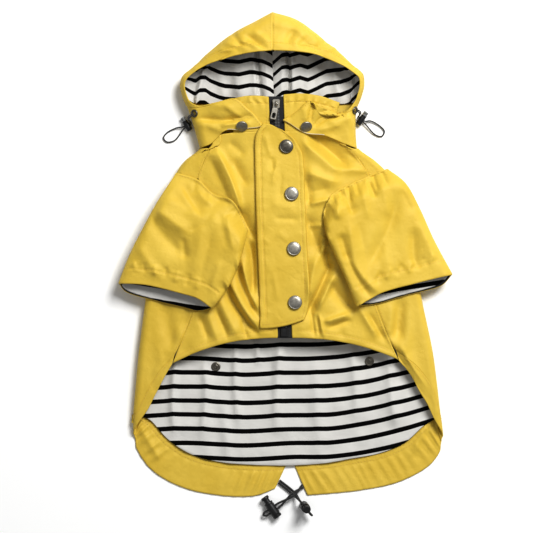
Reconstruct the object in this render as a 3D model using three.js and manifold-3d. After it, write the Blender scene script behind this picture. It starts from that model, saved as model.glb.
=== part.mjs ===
// A hooded dog raincoat, laid out belly side up on a table, in millimetres, +Z up.
// The coat lies with its hood towards +Y. The back panel is on the table and wraps round both sides,
// the belly panels and the sleeves lie over it, and the hood opens upwards. "l" is the -X side.
import * as THREE from 'three';
import { mergeVertices } from 'three/addons/utils/BufferGeometryUtils.js';
import Module from 'manifold-3d';

const wasm = await Module();
wasm.setup();

// Driving dimensions
const SHELL = 1.2; // coated shell cloth
const LINING = 1.0; // striped jersey
const SEAM = 0.3; // gap kept between sewn pieces
const LINED = SHELL + 0.6; // depth of the lining's outer face under the shell's outer face
const EASE = 0.9; // gap kept between cloth that only lies on cloth
const SNAP_DIAMETER = 14;
const SNAP_HEIGHT = 2.6;
const ZIP_GAP = 15; // zip tape showing between the two fronts

// A table of rows with named columns.
const table = (names, rows) => rows.map((row) => {
  const pairs = names.split(' ').map((name, k) => [name, row[k]]);
  return Object.fromEntries(pairs);
});

// Side folds of the coat as it lies: where the left and right sides turn over, the radius of that fold,
// and the height of the top layer along the middle.
const OUTLINE = [
  { y: 172, left: -106, right: 79, radius: 10, crest: 24 },
  { y: 160, left: -103, right: 76.5, radius: 10, crest: 24 },
  { y: 142, left: -96.5, right: 70.8, radius: 9.5, crest: 24 },
  { y: 124, left: -90.5, right: 70.5, radius: 9, crest: 23.5 },
  { y: 107, left: -86, right: 73, radius: 8.5, crest: 23 },
  { y: 94, left: -101, right: 90, radius: 8, crest: 24 },
  { y: 82, left: -109.5, right: 102, radius: 7.5, crest: 25 },
  { y: 60, left: -117, right: 113, radius: 7.5, crest: 26 },
  { y: 30, left: -126, right: 122, radius: 7.5, crest: 26 },
  { y: 0, left: -134, right: 129, radius: 7.5, crest: 26 },
  { y: -45, left: -140.5, right: 137, radius: 7.5, crest: 25 },
  { y: -95, left: -147, right: 147.5, radius: 7.5, crest: 22 },
  { y: -130, left: -150.3, right: 152.3, radius: 7, crest: 20 },
  { y: -158, left: -152.8, right: 155.5, radius: 6, crest: 18 },
  { y: -175, left: -153.4, right: 158, radius: 5, crest: 16 },
  { y: -190, left: -153.6, right: 159.2, radius: 3.6, crest: 12 },
  { y: -215, left: -153.6, right: 159.4, radius: 3, crest: 10 },
];

// Seams, listed from the neck down. Each row has a point on the left and on the right of the coat.
const SHOULDER_SEAM = [
  { lx: -65, ly: 120, rx: 48, ry: 118, floorY: 106.3 },
  { lx: -74, ly: 108, rx: 62, ry: 107, floorY: 99 },
  { lx: -82, ly: 92, rx: 75, ry: 93, floorY: 90 },
  { lx: -87.5, ly: 76.5, rx: 83.5, ry: 78.5, floorY: 79 },
];
const ARMHOLE_FRONT = [
  { lx: -80, ly: 64.5, rx: 76, ry: 71 },
  { lx: -71.5, ly: 57, rx: 65, ry: 66.5 },
  { lx: -61, ly: 53.5, rx: 56, ry: 61.5 },
  { lx: -53, ly: 47.5, rx: 48.5, ry: 55.5 },
  { lx: -46, ly: 36.5, rx: 42.5, ry: 44.5 },
  { lx: -42, ly: 25.5, rx: 41, ry: 34 },
  { lx: -47, ly: 15.5, rx: 46, ry: 19 },
];
const ARMHOLE_BACK = [
  { lx: -106, ly: 73, rx: 100, ry: 74, floorY: 73 },
  { lx: -112, ly: 62, rx: 107, ry: 62, floorY: 61 },
  { lx: -108, ly: 42, rx: 104, ry: 42, floorY: 43 },
  { lx: -95, ly: 23, rx: 91, ry: 23, floorY: 25 },
];
const SIDE_SEAM = [
  { lx: -76, ly: 10, rx: 73, ry: 9, floorY: 8 },
  { lx: -82, ly: -15, rx: 80.5, ry: -17, floorY: -15 },
  { lx: -87.5, ly: -38, rx: 86, ry: -38, floorY: -37 },
  { lx: -92.5, ly: -56, rx: 92, ry: -55, floorY: -55 },
  { lx: -97.5, ly: -70, rx: 97.5, ry: -70, floorY: -70 },
  { lx: -103, ly: -84, rx: 103, ry: -84, floorY: -84 },
];
// The hem casing: the stitched line where it joins the back, and the free hem edge. From "round" on the
// casing has passed round the side fold and lies on the table.
const HEM = table('lx ly rx ry elx ely erx ery round', [
  [-110.7, -99.5, 110.5, -96, -113.5, -109.5, 114, -106, false],
  [-119, -109, 121, -103.5, -121, -122, 125, -120, false],
  [-129, -120.5, 133, -113.5, -130, -139, 134, -136, false],
  [-141, -141, 146, -131, -138.5, -155.5, 143, -151, false],
  [-148.5, -157, 153.5, -152, -149.5, -171, 153, -171, false],
  [-138, -163, 146, -162, -151.6, -184, 157.5, -187, true],
  [-128.5, -173, 137, -174, -149, -195.5, 154.5, -199, true],
  [-115, -188, 126, -188, -137, -213.5, 143.5, -212.5, true],
  [-101, -197.5, 111, -196, -118.5, -227, 124, -224, true],
  [-81, -205, 89.5, -201.5, -95, -236.5, 103, -231.5, true],
  [-60.5, -209, 62.5, -205, -72, -241, 76, -236.5, true],
  [-40, -210.7, 45, -208, -49, -243, 60, -238.5, true],
  [-20, -211.5, 25, -210.5, -28.5, -241.8, 40, -240.3, true],
  [-0.5, -211.8, 9.5, -211.8, -10.5, -235, 22.5, -241.6, true],
]);

// Rows of the two fronts: the height on the zip edge of each row that ends on the seam point beside it.
const FRONT_ROWS = [
  { zipY: 123, ...SHOULDER_SEAM[0] },
  { zipY: 109, ...SHOULDER_SEAM[1] },
  { zipY: 95, ...SHOULDER_SEAM[2] },
  { zipY: 83, ...SHOULDER_SEAM[3] },
  { zipY: 74, ...ARMHOLE_FRONT[0] },
  { zipY: 67, ...ARMHOLE_FRONT[1] },
  { zipY: 60, ...ARMHOLE_FRONT[2] },
  { zipY: 51, ...ARMHOLE_FRONT[3] },
  { zipY: 39, ...ARMHOLE_FRONT[4] },
  { zipY: 26, ...ARMHOLE_FRONT[5] },
  { zipY: 14, ...ARMHOLE_FRONT[6] },
  { zipY: 5, ...SIDE_SEAM[0] },
  { zipY: -14, ...SIDE_SEAM[1] },
  { zipY: -31, ...SIDE_SEAM[2] },
  { zipY: -45, ...SIDE_SEAM[3] },
  { zipY: -58, ...SIDE_SEAM[4] },
  { zipY: -70, ...SIDE_SEAM[5] },
  { zipY: -83, lx: -112.8, ly: -108.5, rx: 113.3, ry: -105 },
];

// Largest folds of the top layer: a soft ridge (height > 0) or trough (height < 0) between two points.
const FOLDS = [
  { x0: -70, y0: 106, x1: -40, y1: 52, width: 10, height: 3.0 },
  { x0: -52, y0: 112, x1: -34, y1: 66, width: 7, height: -2.0 },
  { x0: -36, y0: 16, x1: -27, y1: -62, width: 5.5, height: -2.6 },
  { x0: -48, y0: -20, x1: -30, y1: -78, width: 6, height: 2.4 },
  { x0: 24, y0: 112, x1: 54, y1: 76, width: 9, height: -3.2 },
  { x0: 44, y0: 104, x1: 72, y1: 86, width: 8, height: 2.2 },
  { x0: 24, y0: 56, x1: 44, y1: 40, width: 6, height: 2.0 },
  { x0: 52, y0: -2, x1: 25, y1: -60, width: 7, height: -3.2 },
  { x0: 62, y0: -26, x1: 40, y1: -70, width: 8, height: 2.4 },
  { x0: -84, y0: -60, x1: -60, y1: -84, width: 6, height: -1.8 },
  { x0: 84, y0: -58, x1: 62, y1: -82, width: 6, height: -1.8 },
];

// Materials
const material = (color, roughness, metalness = 0) => (
  new THREE.MeshStandardMaterial({ color, roughness, metalness })
);
const YELLOW = material(0xe3bd45, 0.6);
const STRIPED = material(0xdedcd4, 0.9);
const BLACK_TAPE = material(0x141314, 0.85);
const STEEL = material(0x9a988f, 0.35, 0.9);
const DARK_STEEL = material(0x4c4a44, 0.4, 0.9);
const BLACK_PLASTIC = material(0x1c1d1d, 0.45);
const GREY_PLASTIC = material(0x8b8d8c, 0.4);
const CORD = material(0x222222, 0.9);

const coat = new THREE.Group();

const mix = (a, b, t) => a + (b - a) * t;
const clamp = (x) => Math.min(1, Math.max(0, x));
const smooth = (x) => clamp(x) ** 2 * (3 - 2 * clamp(x));

// Value of one column of a table at y, along a smooth curve through its rows.
function column(rows, key, y) {
  const n = rows.length;
  let i = 0;
  while (i < n - 2 && y < rows[i + 1].y) i++;
  const slope = (k) => {
    const a = rows[Math.max(0, k - 1)], b = rows[Math.min(n - 1, k + 1)];
    return (b[key] - a[key]) / (b.y - a.y);
  };
  const a = rows[i], b = rows[i + 1], h = b.y - a.y, t = clamp((y - a.y) / h);
  return (2 * t ** 3 - 3 * t ** 2 + 1) * a[key] + (t ** 3 - 2 * t ** 2 + t) * h * slope(i)
    + (3 * t ** 2 - 2 * t ** 3) * b[key] + (t ** 3 - t ** 2) * h * slope(i + 1);
}

const silhouette = (side, y) => (side < 0 ? -column(OUTLINE, 'left', y) : column(OUTLINE, 'right', y));
const foldRadius = (y) => column(OUTLINE, 'radius', y);

// Height that the folds add at one place of the top layer.
function folds(x, y, list = FOLDS) {
  let z = 0;
  for (const f of list) {
    const dx = f.x1 - f.x0, dy = f.y1 - f.y0, long = Math.hypot(dx, dy);
    const along = ((x - f.x0) * dx + (y - f.y0) * dy) / long ** 2;
    const off = ((x - f.x0) * dy - (y - f.y0) * dx) / long;
    const ends = smooth(0.5 + (0.5 - Math.abs(along - 0.5)) * 2.5);
    z += f.height * Math.exp(-((off / f.width) ** 2)) * ends;
  }
  return z;
}

// Height of the outer face of the coat's top layer over (x, y), round the side fold to its half height.
function topHeight(x, y) {
  const side = x < 0 ? -1 : 1, r = foldRadius(y), a = silhouette(side, y) - Math.abs(x);
  if (a < r) return r + Math.sqrt(Math.max(0, r ** 2 - (r - Math.max(0, a)) ** 2));
  const inner = clamp((a - r) / (silhouette(side, y) - r));
  const rise = (column(OUTLINE, 'crest', y) - 2 * r) * smooth(inner * 1.35);
  return 2 * r + rise + folds(x, y) * smooth(inner * 6) * smooth((Math.abs(x) - 12) / 16);
}

// Length of cloth from the middle of the table layer, out and round the side fold, to a point over (x, y).
function clothLength(side, x, y, onTop) {
  const r = foldRadius(y), start = silhouette(side, y) - r, a = Math.abs(x) - start;
  if (a <= 0) return onTop ? start + Math.PI * r - a : Math.abs(x);
  const turn = Math.asin(Math.min(1, a / r));
  return start + r * (onTop ? Math.PI - turn : turn);
}

// The point at that length of cloth; inset moves it inwards, for the pieces that lie inside the shell.
function folded(side, length, y, inset = 0) {
  const r = foldRadius(y), start = silhouette(side, y) - r, turn = (length - start) / r;
  if (turn <= 0) return new THREE.Vector3(side * length, y, inset);
  if (turn < Math.PI) {
    const small = r - inset;
    return new THREE.Vector3(side * (start + small * Math.sin(turn)), y, r - small * Math.cos(turn));
  }
  const x = side * (start - (length - start - Math.PI * r));
  return new THREE.Vector3(x, y, topHeight(x, y) - inset);
}

// Direction out of a surface given as a height over (x, y).
function outOf(height, x, y) {
  const dx = height(x + 0.5, y) - height(x - 0.5, y), dy = height(x, y + 0.5) - height(x, y - 0.5);
  return new THREE.Vector3(-dx, -dy, 1).normalize();
}

// Direction out of the cloth at a length along the folded sheet.
function outOfFold(side, length, y) {
  const across = folded(side, length + 0.4, y).sub(folded(side, length - 0.4, y));
  const down = folded(side, length, y - 0.4).sub(folded(side, length, y + 0.4));
  return across.cross(down).multiplyScalar(side).normalize();
}

// A grid of points on the outer face of the cloth, with the direction out of the cloth at each point.
// A ring joins its last column to its first; flip is for grids whose rows run the other way round.
function gridOf(columns, rows, at, { ring = false, flip = false, out = null } = {}) {
  const wide = ring ? columns : columns + 1, points = [];
  for (let j = 0; j <= rows; j++) {
    for (let i = 0; i < wide; i++) points.push(at(i, j));
  }
  const index = (i, j) => j * wide + (ring ? (i + wide) % wide : Math.min(wide - 1, Math.max(0, i)));
  const normals = points.map((p, k) => {
    const i = k % wide, j = Math.floor(k / wide), given = out && out(i, j, p);
    if (given) return given;
    const across = points[index(i + 1, j)].clone().sub(points[index(i - 1, j)]);
    const along = points[index(i, Math.min(rows, j + 1))].clone().sub(points[index(i, Math.max(0, j - 1))]);
    return across.cross(along).normalize().multiplyScalar(flip ? -1 : 1);
  });
  return { columns, rows, ring, flip, index, points, normals };
}

// A closed wall of cloth between two depths under the grid, over some of its columns and rows.
function wall(grid, near, far, [c0, c1] = [0, grid.columns], [r0, r1] = [0, grid.rows]) {
  const ring = grid.ring && c1 - c0 === grid.columns;
  const wide = c1 - c0 + (ring ? 0 : 1), high = r1 - r0 + 1, n = wide * high;
  const points = [], faces = [];
  for (const depth of [near, far]) {
    for (let j = r0; j <= r1; j++) {
      for (let i = c0; i < c0 + wide; i++) {
        const k = grid.index(i, j);
        points.push(grid.points[k].clone().addScaledVector(grid.normals[k], -depth));
      }
    }
  }
  const at = (i, j) => (j - r0) * wide + (ring ? (i - c0) % wide : i - c0);
  const quad = (a, b, c, d) => faces.push(a, b, c, a, c, d);
  for (let j = r0; j < r1; j++) {
    for (let i = c0; i < c1; i++) {
      const a = at(i, j), b = at(i + 1, j), c = at(i + 1, j + 1), d = at(i, j + 1);
      quad(a, b, c, d);
      quad(n + b, n + a, n + d, n + c);
    }
  }
  for (let i = c0; i < c1; i++) {
    const a = at(i, r0), b = at(i + 1, r0), c = at(i, r1), d = at(i + 1, r1);
    quad(a, n + a, n + b, b);
    quad(d, n + d, n + c, c);
  }
  if (!ring) {
    for (let j = r0; j < r1; j++) {
      const a = at(c0, j), b = at(c0, j + 1), c = at(c1, j), d = at(c1, j + 1);
      quad(b, n + b, n + a, a);
      quad(c, n + c, n + d, d);
    }
  }
  if (grid.flip) faces.reverse();
  const geometry = new THREE.BufferGeometry();
  geometry.setAttribute('position', new THREE.Float32BufferAttribute(points.flatMap((p) => p.toArray()), 3));
  geometry.setIndex(faces);
  return geometry;
}

function add(name, geometry, look, parent = coat) {
  const mesh = new THREE.Mesh(geometry, look);
  mesh.name = name;
  parent.add(mesh);
  return mesh;
}

const suffix = (side) => (side < 0 ? '_l' : '_r');
const pointOf = (row, side) => (side < 0 ? [row.lx, row.ly] : [row.rx, row.ry]);

// Point at share s of a polyline of [x, y] points, along a smooth curve.
function along(points, s) {
  const curve = new THREE.SplineCurve(points.map(([x, y]) => new THREE.Vector2(x, y)));
  return curve.getPoint(clamp(s));
}

// A patch inside four edge curves that meet at its corners, each a function of 0..1 giving a Vector2.
function patch(low, high, left, right) {
  return (s, t) => {
    const p = low(s).multiplyScalar(1 - t).add(high(s).multiplyScalar(t));
    p.add(left(t).multiplyScalar(1 - s)).add(right(t).multiplyScalar(s));
    p.addScaledVector(low(0), -(1 - s) * (1 - t)).addScaledVector(low(1), -s * (1 - t));
    return p.addScaledVector(high(0), -(1 - s) * t).addScaledVector(high(1), -s * t);
  };
}
const edge = (...points) => (s) => along(points, s);

// Back panel: one sheet from seam to seam, flat on the table and wrapped round both sides. Its last row
// is the stitched line of the hem, which rises from the middle of the tail to the side folds.
const BACK_ROWS = [...SHOULDER_SEAM, ...ARMHOLE_BACK, ...SIDE_SEAM,
  { ...HEM[0], floorY: -106 },
  { ...HEM[1], floorY: -123 },
  { ...HEM[2], floorY: -143 },
  { ...HEM[3], floorY: -168 },
  { ...HEM[4], floorY: -191 },
  { lx: -152.8, ly: -160.5, rx: 156.2, ry: -163.5, floorY: -211.8, tail: true }];
const TAIL = [
  { y: 0, left: 1, right: 1 },
  { y: -0.13, left: 0.994, right: 0.99 },
  { y: -0.26, left: 0.979, right: 0.945 },
  { y: -0.39, left: 0.945, right: 0.87 },
  { y: -0.52, left: 0.867, right: 0.8 },
  { y: -0.65, left: 0.721, right: 0.69 },
  { y: -0.74, left: 0.536, right: 0.55 },
  { y: -0.82, left: 0.27, right: 0.34 },
  { y: -0.89, left: 0.06, right: 0.12 },
  { y: -0.94, left: 0.02, right: 0.03 },
  { y: -1, left: 0, right: 0 },
];
const FLOOR_SHARES = [0, 0.24, 0.45, 0.64, 0.8, 0.92, 1];
const FLOOR_COLUMNS = FLOOR_SHARES.length - 1, TURN_COLUMNS = 5, WRAP_COLUMNS = 2;
const HALF_COLUMNS = FLOOR_COLUMNS + TURN_COLUMNS + WRAP_COLUMNS;

// Length along the cloth and y of the point k columns out from the middle of a row.
function backSpot(row, side, k) {
  const [x, y] = pointOf(row, side);
  const r = foldRadius(y), start = silhouette(side, y) - r;
  const total = (row.tail ? start + r * Math.PI / 2 : clothLength(side, x, y, true)) - SEAM;
  const a = Math.min(start, total - 4), b = Math.min(start + Math.PI * r, mix(a, total, 0.85));
  let length = a * FLOOR_SHARES[Math.min(k, FLOOR_COLUMNS)];
  if (k > FLOOR_COLUMNS) length = mix(a, b, (k - FLOOR_COLUMNS) / TURN_COLUMNS);
  const wrapped = (k - FLOOR_COLUMNS - TURN_COLUMNS) / WRAP_COLUMNS;
  if (wrapped > 0) length = mix(b, total, wrapped);
  const bend = clamp((length - b) / (total - b)) ** 1.5;
  const drop = column(TAIL, side < 0 ? 'left' : 'right', -length / total);
  const low = row.floorY < -100;
  return { length, y: low ? mix(y, row.floorY, drop) : mix(row.floorY, y, bend) };
}

// The back, and its striped lining where it shows through the hem opening.
function makeBack() {
  const spot = (i, j) => backSpot(BACK_ROWS[j], i < HALF_COLUMNS ? -1 : 1, Math.abs(i - HALF_COLUMNS));
  const at = (i, j) => folded(i < HALF_COLUMNS ? -1 : 1, spot(i, j).length, spot(i, j).y);
  const out = (i, j) => outOfFold(i < HALF_COLUMNS ? -1 : 1, spot(i, j).length, spot(i, j).y);
  const grid = gridOf(2 * HALF_COLUMNS, BACK_ROWS.length - 1, at, { out });
  add('back_panel', wall(grid, 0, SHELL), YELLOW);
  const lined = [WRAP_COLUMNS + 1, 2 * HALF_COLUMNS - WRAP_COLUMNS - 1];
  add('lining_back', wall(grid, LINED, LINED + LINING, lined, [9, grid.rows]), STRIPED);
}

// Hem casing: a ribbon between the back's stitched line and the free edge, gathered on the drawcord.
function makeHemCasing(side) {
  const spots = [];
  for (const row of BACK_ROWS.slice(14)) spots.push(backSpot(row, side, HALF_COLUMNS));
  for (let k = HALF_COLUMNS - 1; k >= 0; k--) spots.push(backSpot(BACK_ROWS[BACK_ROWS.length - 1], side, k));
  const inner = spots.map((p) => new THREE.Vector2(p.length, p.y));
  if (side > 0) inner[inner.length - 1].x = 9.5;
  const cut = HEM.map((row) => {
    const [x, y] = pointOf(row, side), [ex, ey] = side < 0 ? [row.elx, row.ely] : [row.erx, row.ery];
    const free = new THREE.Vector2(clothLength(side, ex, ey, !row.round), ey);
    return { stitched: new THREE.Vector2(clothLength(side, x, y, !row.round), y), free };
  });
  const travel = (list) => {
    const sums = [0];
    for (let k = 1; k < list.length; k++) sums.push(sums[k - 1] + list[k].distanceTo(list[k - 1]));
    return sums;
  };
  const cutTravel = travel(cut.map((c) => c.stitched)), innerTravel = travel(inner);
  const freeAt = (done) => {
    const d = done * cutTravel[cutTravel.length - 1];
    let k = 0;
    while (k < cut.length - 2 && cutTravel[k + 1] < d) k++;
    const share = clamp((d - cutTravel[k]) / (cutTravel[k + 1] - cutTravel[k]));
    return cut[k].free.clone().lerp(cut[k + 1].free, share);
  };
  const perRow = 2, steps = 2, columns = (inner.length - 1) * perRow;
  const spot = (i, j) => {
    const k = Math.min(inner.length - 2, Math.floor(i / perRow)), f = i / perRow - k;
    const a = inner[k].clone().lerp(inner[k + 1], f);
    const b = freeAt(mix(innerTravel[k], innerTravel[k + 1], f) / innerTravel[innerTravel.length - 1]);
    return a.lerp(b, mix(2 * SEAM / a.distanceTo(b), 1, j / steps));
  };
  const at = (i, j) => {
    const p = spot(i, j), place = folded(side, p.x, p.y);
    if (i > 14 && j > 0 && j < steps && i % 2) place.z += 1.2;
    return place;
  };
  const out = (i, j) => outOfFold(side, spot(i, j).x, spot(i, j).y);
  const grid = gridOf(columns, steps, at, { flip: side > 0, out });
  add('hem_casing' + suffix(side), wall(grid, 0, SHELL), YELLOW);
}

// Fronts: from the zip to the shoulder seam, the armhole and the side seam.
const FRONT_COLUMNS = 11;
const zipCentre = (y) => mix(-9.5, -0.5, (157 - y) / 240);

function makeFront(side) {
  const at = (i, j) => {
    const row = FRONT_ROWS[j], s = i / FRONT_COLUMNS;
    const [edgeX, edgeY] = pointOf(row, side);
    const x = mix(zipCentre(row.zipY) + side * ZIP_GAP / 2, edgeX - side * SEAM, s);
    const y = mix(row.zipY, edgeY, s ** 2.2);
    return new THREE.Vector3(x, y, topHeight(x, y));
  };
  const out = (i, j, p) => outOf(topHeight, p.x, p.y);
  const grid = gridOf(FRONT_COLUMNS, FRONT_ROWS.length - 1, at, { flip: side > 0, out });
  add('front' + suffix(side), wall(grid, 0, SHELL), YELLOW);
}

// Sleeves: a flattened tube laid over the coat. The upper layer runs from the seam that shows to the cuff,
// the under layer from the hidden half of the armhole.
const SLEEVES = {
  [-1]: {
    outer: edge([-109.7, 81.5], [-129.4, 50.7], [-139.5, 32.5], [-156, 0], [-167.3, -28.5]),
    inner: edge([-37.5, 24], [-42.5, 3], [-49.4, -18], [-59.5, -37], [-72.5, -54]),
    capTop: edge(
      [-109.7, 81.5], [-88.5, 74.8], [-76, 63.3], [-68, 58.4],
      [-58, 56], [-50.5, 49.8], [-43.8, 38], [-37.5, 24]),
    capUnder: edge(
      [-109.7, 81.5], [-116.5, 64], [-112, 42], [-98.5, 21],
      [-77, 6], [-57, 3.5], [-46, 9], [-37.5, 24]),
    cuffTop: edge(
      [-167.3, -28.5], [-143.5, -29.5], [-125, -33],
      [-106.9, -37.7], [-87.3, -43.6], [-72.5, -54]),
    cuffUnder: edge(
      [-167.3, -28.5], [-157.5, -38], [-129.5, -46],
      [-101.5, -52.5], [-87.5, -56], [-72.5, -54]),
    gathers: 3,
  },
  1: {
    outer: edge([102.5, 85.7], [120.8, 70.5], [134.8, 45.1], [148.8, 14.2], [167.1, -19.5]),
    inner: edge([37.3, 37], [40.5, 19.5], [48.5, -0.5], [60.4, -26.5], [70.3, -51.8]),
    capTop: edge(
      [102.5, 85.7], [84.3, 78.7], [73.1, 73.8], [63.5, 69.3],
      [54.8, 64.7], [46.4, 59.1], [40.2, 48], [37.3, 37]),
    capUnder: edge(
      [102.5, 85.7], [113, 67], [109, 43], [95, 21],
      [75, 6], [58, 3.5], [47.5, 13], [37.3, 37]),
    cuffTop: edge(
      [167.1, -19.5], [143.5, -25], [120.8, -30.7],
      [106, -34.5], [92.7, -39.4], [70.3, -51.8]),
    cuffUnder: edge(
      [167.1, -19.5], [155.9, -30.8], [138, -36.5],
      [120.8, -40.5], [92.7, -48.5], [70.3, -51.8]),
    gathers: 7,
  },
};
const SLEEVE_ROWS = [0, 0.035, 0.09, 0.17, 0.28, 0.41, 0.55, 0.69, 0.82, 0.97, 1];
const TOP_COLUMNS = 20, UNDER_COLUMNS = 8;
const TIP = [0, 0.012, 0.04, 0.085];

function shareOf(i, count) {
  const last = TIP.length - 1;
  if (i <= last) return TIP[i];
  if (i >= count - last) return 1 - TIP[count - i];
  return mix(TIP[last], 1 - TIP[last], (i - last) / (count - 2 * last));
}

// Surface a sleeve rests on: the coat, and straight on from the top of its side fold.
function support(x, y) {
  const side = x < 0 ? -1 : 1, r = foldRadius(y), a = silhouette(side, y) - Math.abs(x);
  if (a < r) return 2 * r - 0.1 * (r - a);
  const around = [[0, 0], [5, 0], [-5, 0], [0, 5], [0, -5]];
  return Math.max(...around.map(([dx, dy]) => topHeight(x + dx, y + dy)));
}

function sleevePoint(cut, s, t, onTop, ridges) {
  const patchOf = onTop ? cut.topPatch : cut.underPatch;
  const p = patchOf(s, t), tip = Math.min(s, 1 - s), r = 0.085;
  const round = tip < r ? Math.sqrt(1 - (1 - tip / r) ** 2) : 1;
  const cap = 1.6 + 2.4 * (1 - smooth(tip / 0.12));
  const full = 14.5 - 1.5 * smooth((t - 0.5) * 2);
  const high = mix(cap, full, smooth(t * 4.2) ** 0.8);
  const middle = support(p.x, p.y) + EASE + high / 2;
  const gather = onTop ? 0.8 * ridges * smooth(t * 30) * (1 - smooth((t - 0.05) * 4.5)) : 0;
  return new THREE.Vector3(p.x, p.y, middle + (onTop ? 1 : -1) * round * high / 2 + gather);
}

function makeSleeve(side) {
  const cut = SLEEVES[side];
  cut.topPatch = patch(cut.capTop, cut.cuffTop, cut.outer, cut.inner);
  cut.underPatch = patch(cut.capUnder, cut.cuffUnder, cut.outer, cut.inner);
  const at = (i, j) => {
    const onTop = i <= TOP_COLUMNS, t = SLEEVE_ROWS[j];
    const s = onTop ? shareOf(i, TOP_COLUMNS) : 1 - shareOf(i - TOP_COLUMNS, UNDER_COLUMNS);
    const wave = smooth((s - 0.12) * 6) * smooth((0.96 - s) * 8);
    return sleevePoint(cut, s, t, onTop, wave * Math.sin(s * cut.gathers * 2 * Math.PI));
  };
  const columns = TOP_COLUMNS + UNDER_COLUMNS;
  const grid = gridOf(columns, SLEEVE_ROWS.length - 1, at, { ring: true, flip: side < 0 });
  add('sleeve' + suffix(side), wall(grid, 0, SHELL), YELLOW);
  const lined = [SLEEVE_ROWS.length - 4, SLEEVE_ROWS.length - 2];
  add('cuff_lining' + suffix(side), wall(grid, LINED, LINED + LINING, [0, columns], lined), STRIPED);
}

// Hood: two halves joined along the middle. Each row runs from the middle seam on the table out to the
// side, round the fold, and back over the top to the free edge of the hood.
const HOOD = table('sx sy lqx lqy lex ley rqx rqy rex rey radius top bow', [
  [-9, 106.6, -86, 106.8, -25, 127.8, 71.8, 106.8, -1.5, 130.3, 9.5, 0, 1],
  [-9.3, 113, -88, 114, -24.5, 131, 71, 114.5, -1, 132.3, 9.7, 0, 0.85],
  [-9.7, 121, -90.4, 123, -37, 143.8, 70.5, 123, 11, 142.5, 9.9, 0, 0.15],
  [-10, 129, -93, 132, -50.5, 155.5, 70.4, 131, 24.5, 152.5, 10, 0, 0],
  [-10.3, 136, -95.5, 139, -68, 152.5, 70.5, 138, 36, 139.5, 10, 0, 0],
  [-10.6, 142, -97.6, 145.5, -86, 148.8, 71.5, 144.8, 59.5, 143, 10.2, 0, 0],
  [-11, 149, -100.6, 152.5, -95.5, 152.8, 73.8, 152.3, 69, 151.5, 10.5, 0, 0],
  [-11.3, 156, -103.4, 160.5, -99.4, 160.5, 76.3, 160.5, 72.3, 160, 11, 0, 0],
  [-11.6, 163, -105.4, 168.8, -101.2, 168.6, 78.6, 169, 74.5, 168.8, 11.5, 0, 0],
  [-12, 170, -103.6, 178.2, -99, 176.2, 78.3, 179.4, 73.8, 176.8, 12, 0, 0],
  [-12.2, 175, -97, 184.6, -90, 183.6, 73.6, 185.2, 67.5, 182.6, 12.5, 27, 0],
  [-12.4, 179, -86.5, 194, -79.5, 189.4, 66.5, 191.4, 58.5, 188.5, 13, 29, 0],
  [-12.6, 182, -71.9, 207.1, -65, 194.4, 52.1, 204.2, 45, 194.2, 14, 31, 0],
  [-12.8, 184.5, -52.5, 221.4, -48, 198.8, 35, 217.8, 29, 199.8, 15, 34, 0],
  [-13, 187, -33.7, 231.8, -31, 201.8, 12, 234.8, 8.5, 202.6, 15, 36, 0],
  [-13, 190, -13, 242.9, -13, 203.5, -13, 242.9, -13, 203.5, 15, 36.5, 0],
]);
const HOOD_FLOOR = 3, HOOD_TURN = 6, HOOD_TOP = 3;
const HOOD_COLUMNS = HOOD_FLOOR + HOOD_TURN + HOOD_TOP;
// How far the lower edges of the two flaps bow up, along x. The rows above follow by their share "bow".
const FLAP_BOW = table('x up', [
  [-77, 0], [-59.7, 8.5], [-42.3, 3], [-25, 0], [-1.5, 3.4], [19.9, -2.2], [41.3, 1.9], [62.8, 0],
]);

function flapBow(x) {
  const k = FLAP_BOW.findIndex((p) => p.x >= x);
  if (k < 1) return 0;
  const a = FLAP_BOW[k - 1], b = FLAP_BOW[k];
  return mix(a.up, b.up, smooth((x - a.x) / (b.x - a.x)));
}

function hoodPoint(row, side, k) {
  const start = new THREE.Vector2(row.sx + side * SEAM / 2, row.sy);
  const fold = side < 0 ? new THREE.Vector2(row.lqx, row.lqy) : new THREE.Vector2(row.rqx, row.rqy);
  const end = side < 0 ? new THREE.Vector2(row.lex, row.ley) : new THREE.Vector2(row.rex, row.rey);
  if (row === HOOD[HOOD.length - 1]) {
    fold.x += side * SEAM / 2;
    end.x += side * SEAM / 2;
  }
  const r = row.radius, out = start.distanceTo(fold), back = end.distanceTo(fold);
  const finish = back < r ? Math.PI - Math.asin(1 - back / r) : Math.PI;
  if (k <= HOOD_FLOOR) {
    const p = start.lerp(fold, (1 - r / out) * k / HOOD_FLOOR);
    return new THREE.Vector3(p.x, p.y, 0);
  }
  const over = Math.max(0, back - r), turnLength = r * finish, total = turnLength + over;
  const bend = Math.min(turnLength, total * 0.8), turned = k - HOOD_FLOOR;
  const share = (turned - HOOD_TURN) / HOOD_TOP;
  const length = share <= 0 ? bend * turned / HOOD_TURN : mix(bend, total, share);
  if (length <= turnLength) {
    const turn = length / r, a = r * (1 - Math.sin(turn));
    const p = turn < Math.PI / 2 ? fold.clone().lerp(start, a / out) : fold.clone().lerp(end, a / back);
    return new THREE.Vector3(p.x, p.y, r - r * Math.cos(turn));
  }
  const past = length - turnLength, p = fold.clone().lerp(end, (r + past) / back);
  p.y += row.bow * flapBow(p.x);
  const high = row.top ? row.top : topHeight(p.x, p.y) + 2.2;
  return new THREE.Vector3(p.x, p.y, mix(2 * r, high, smooth(row.top ? past / over : past / 22)));
}

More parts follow.
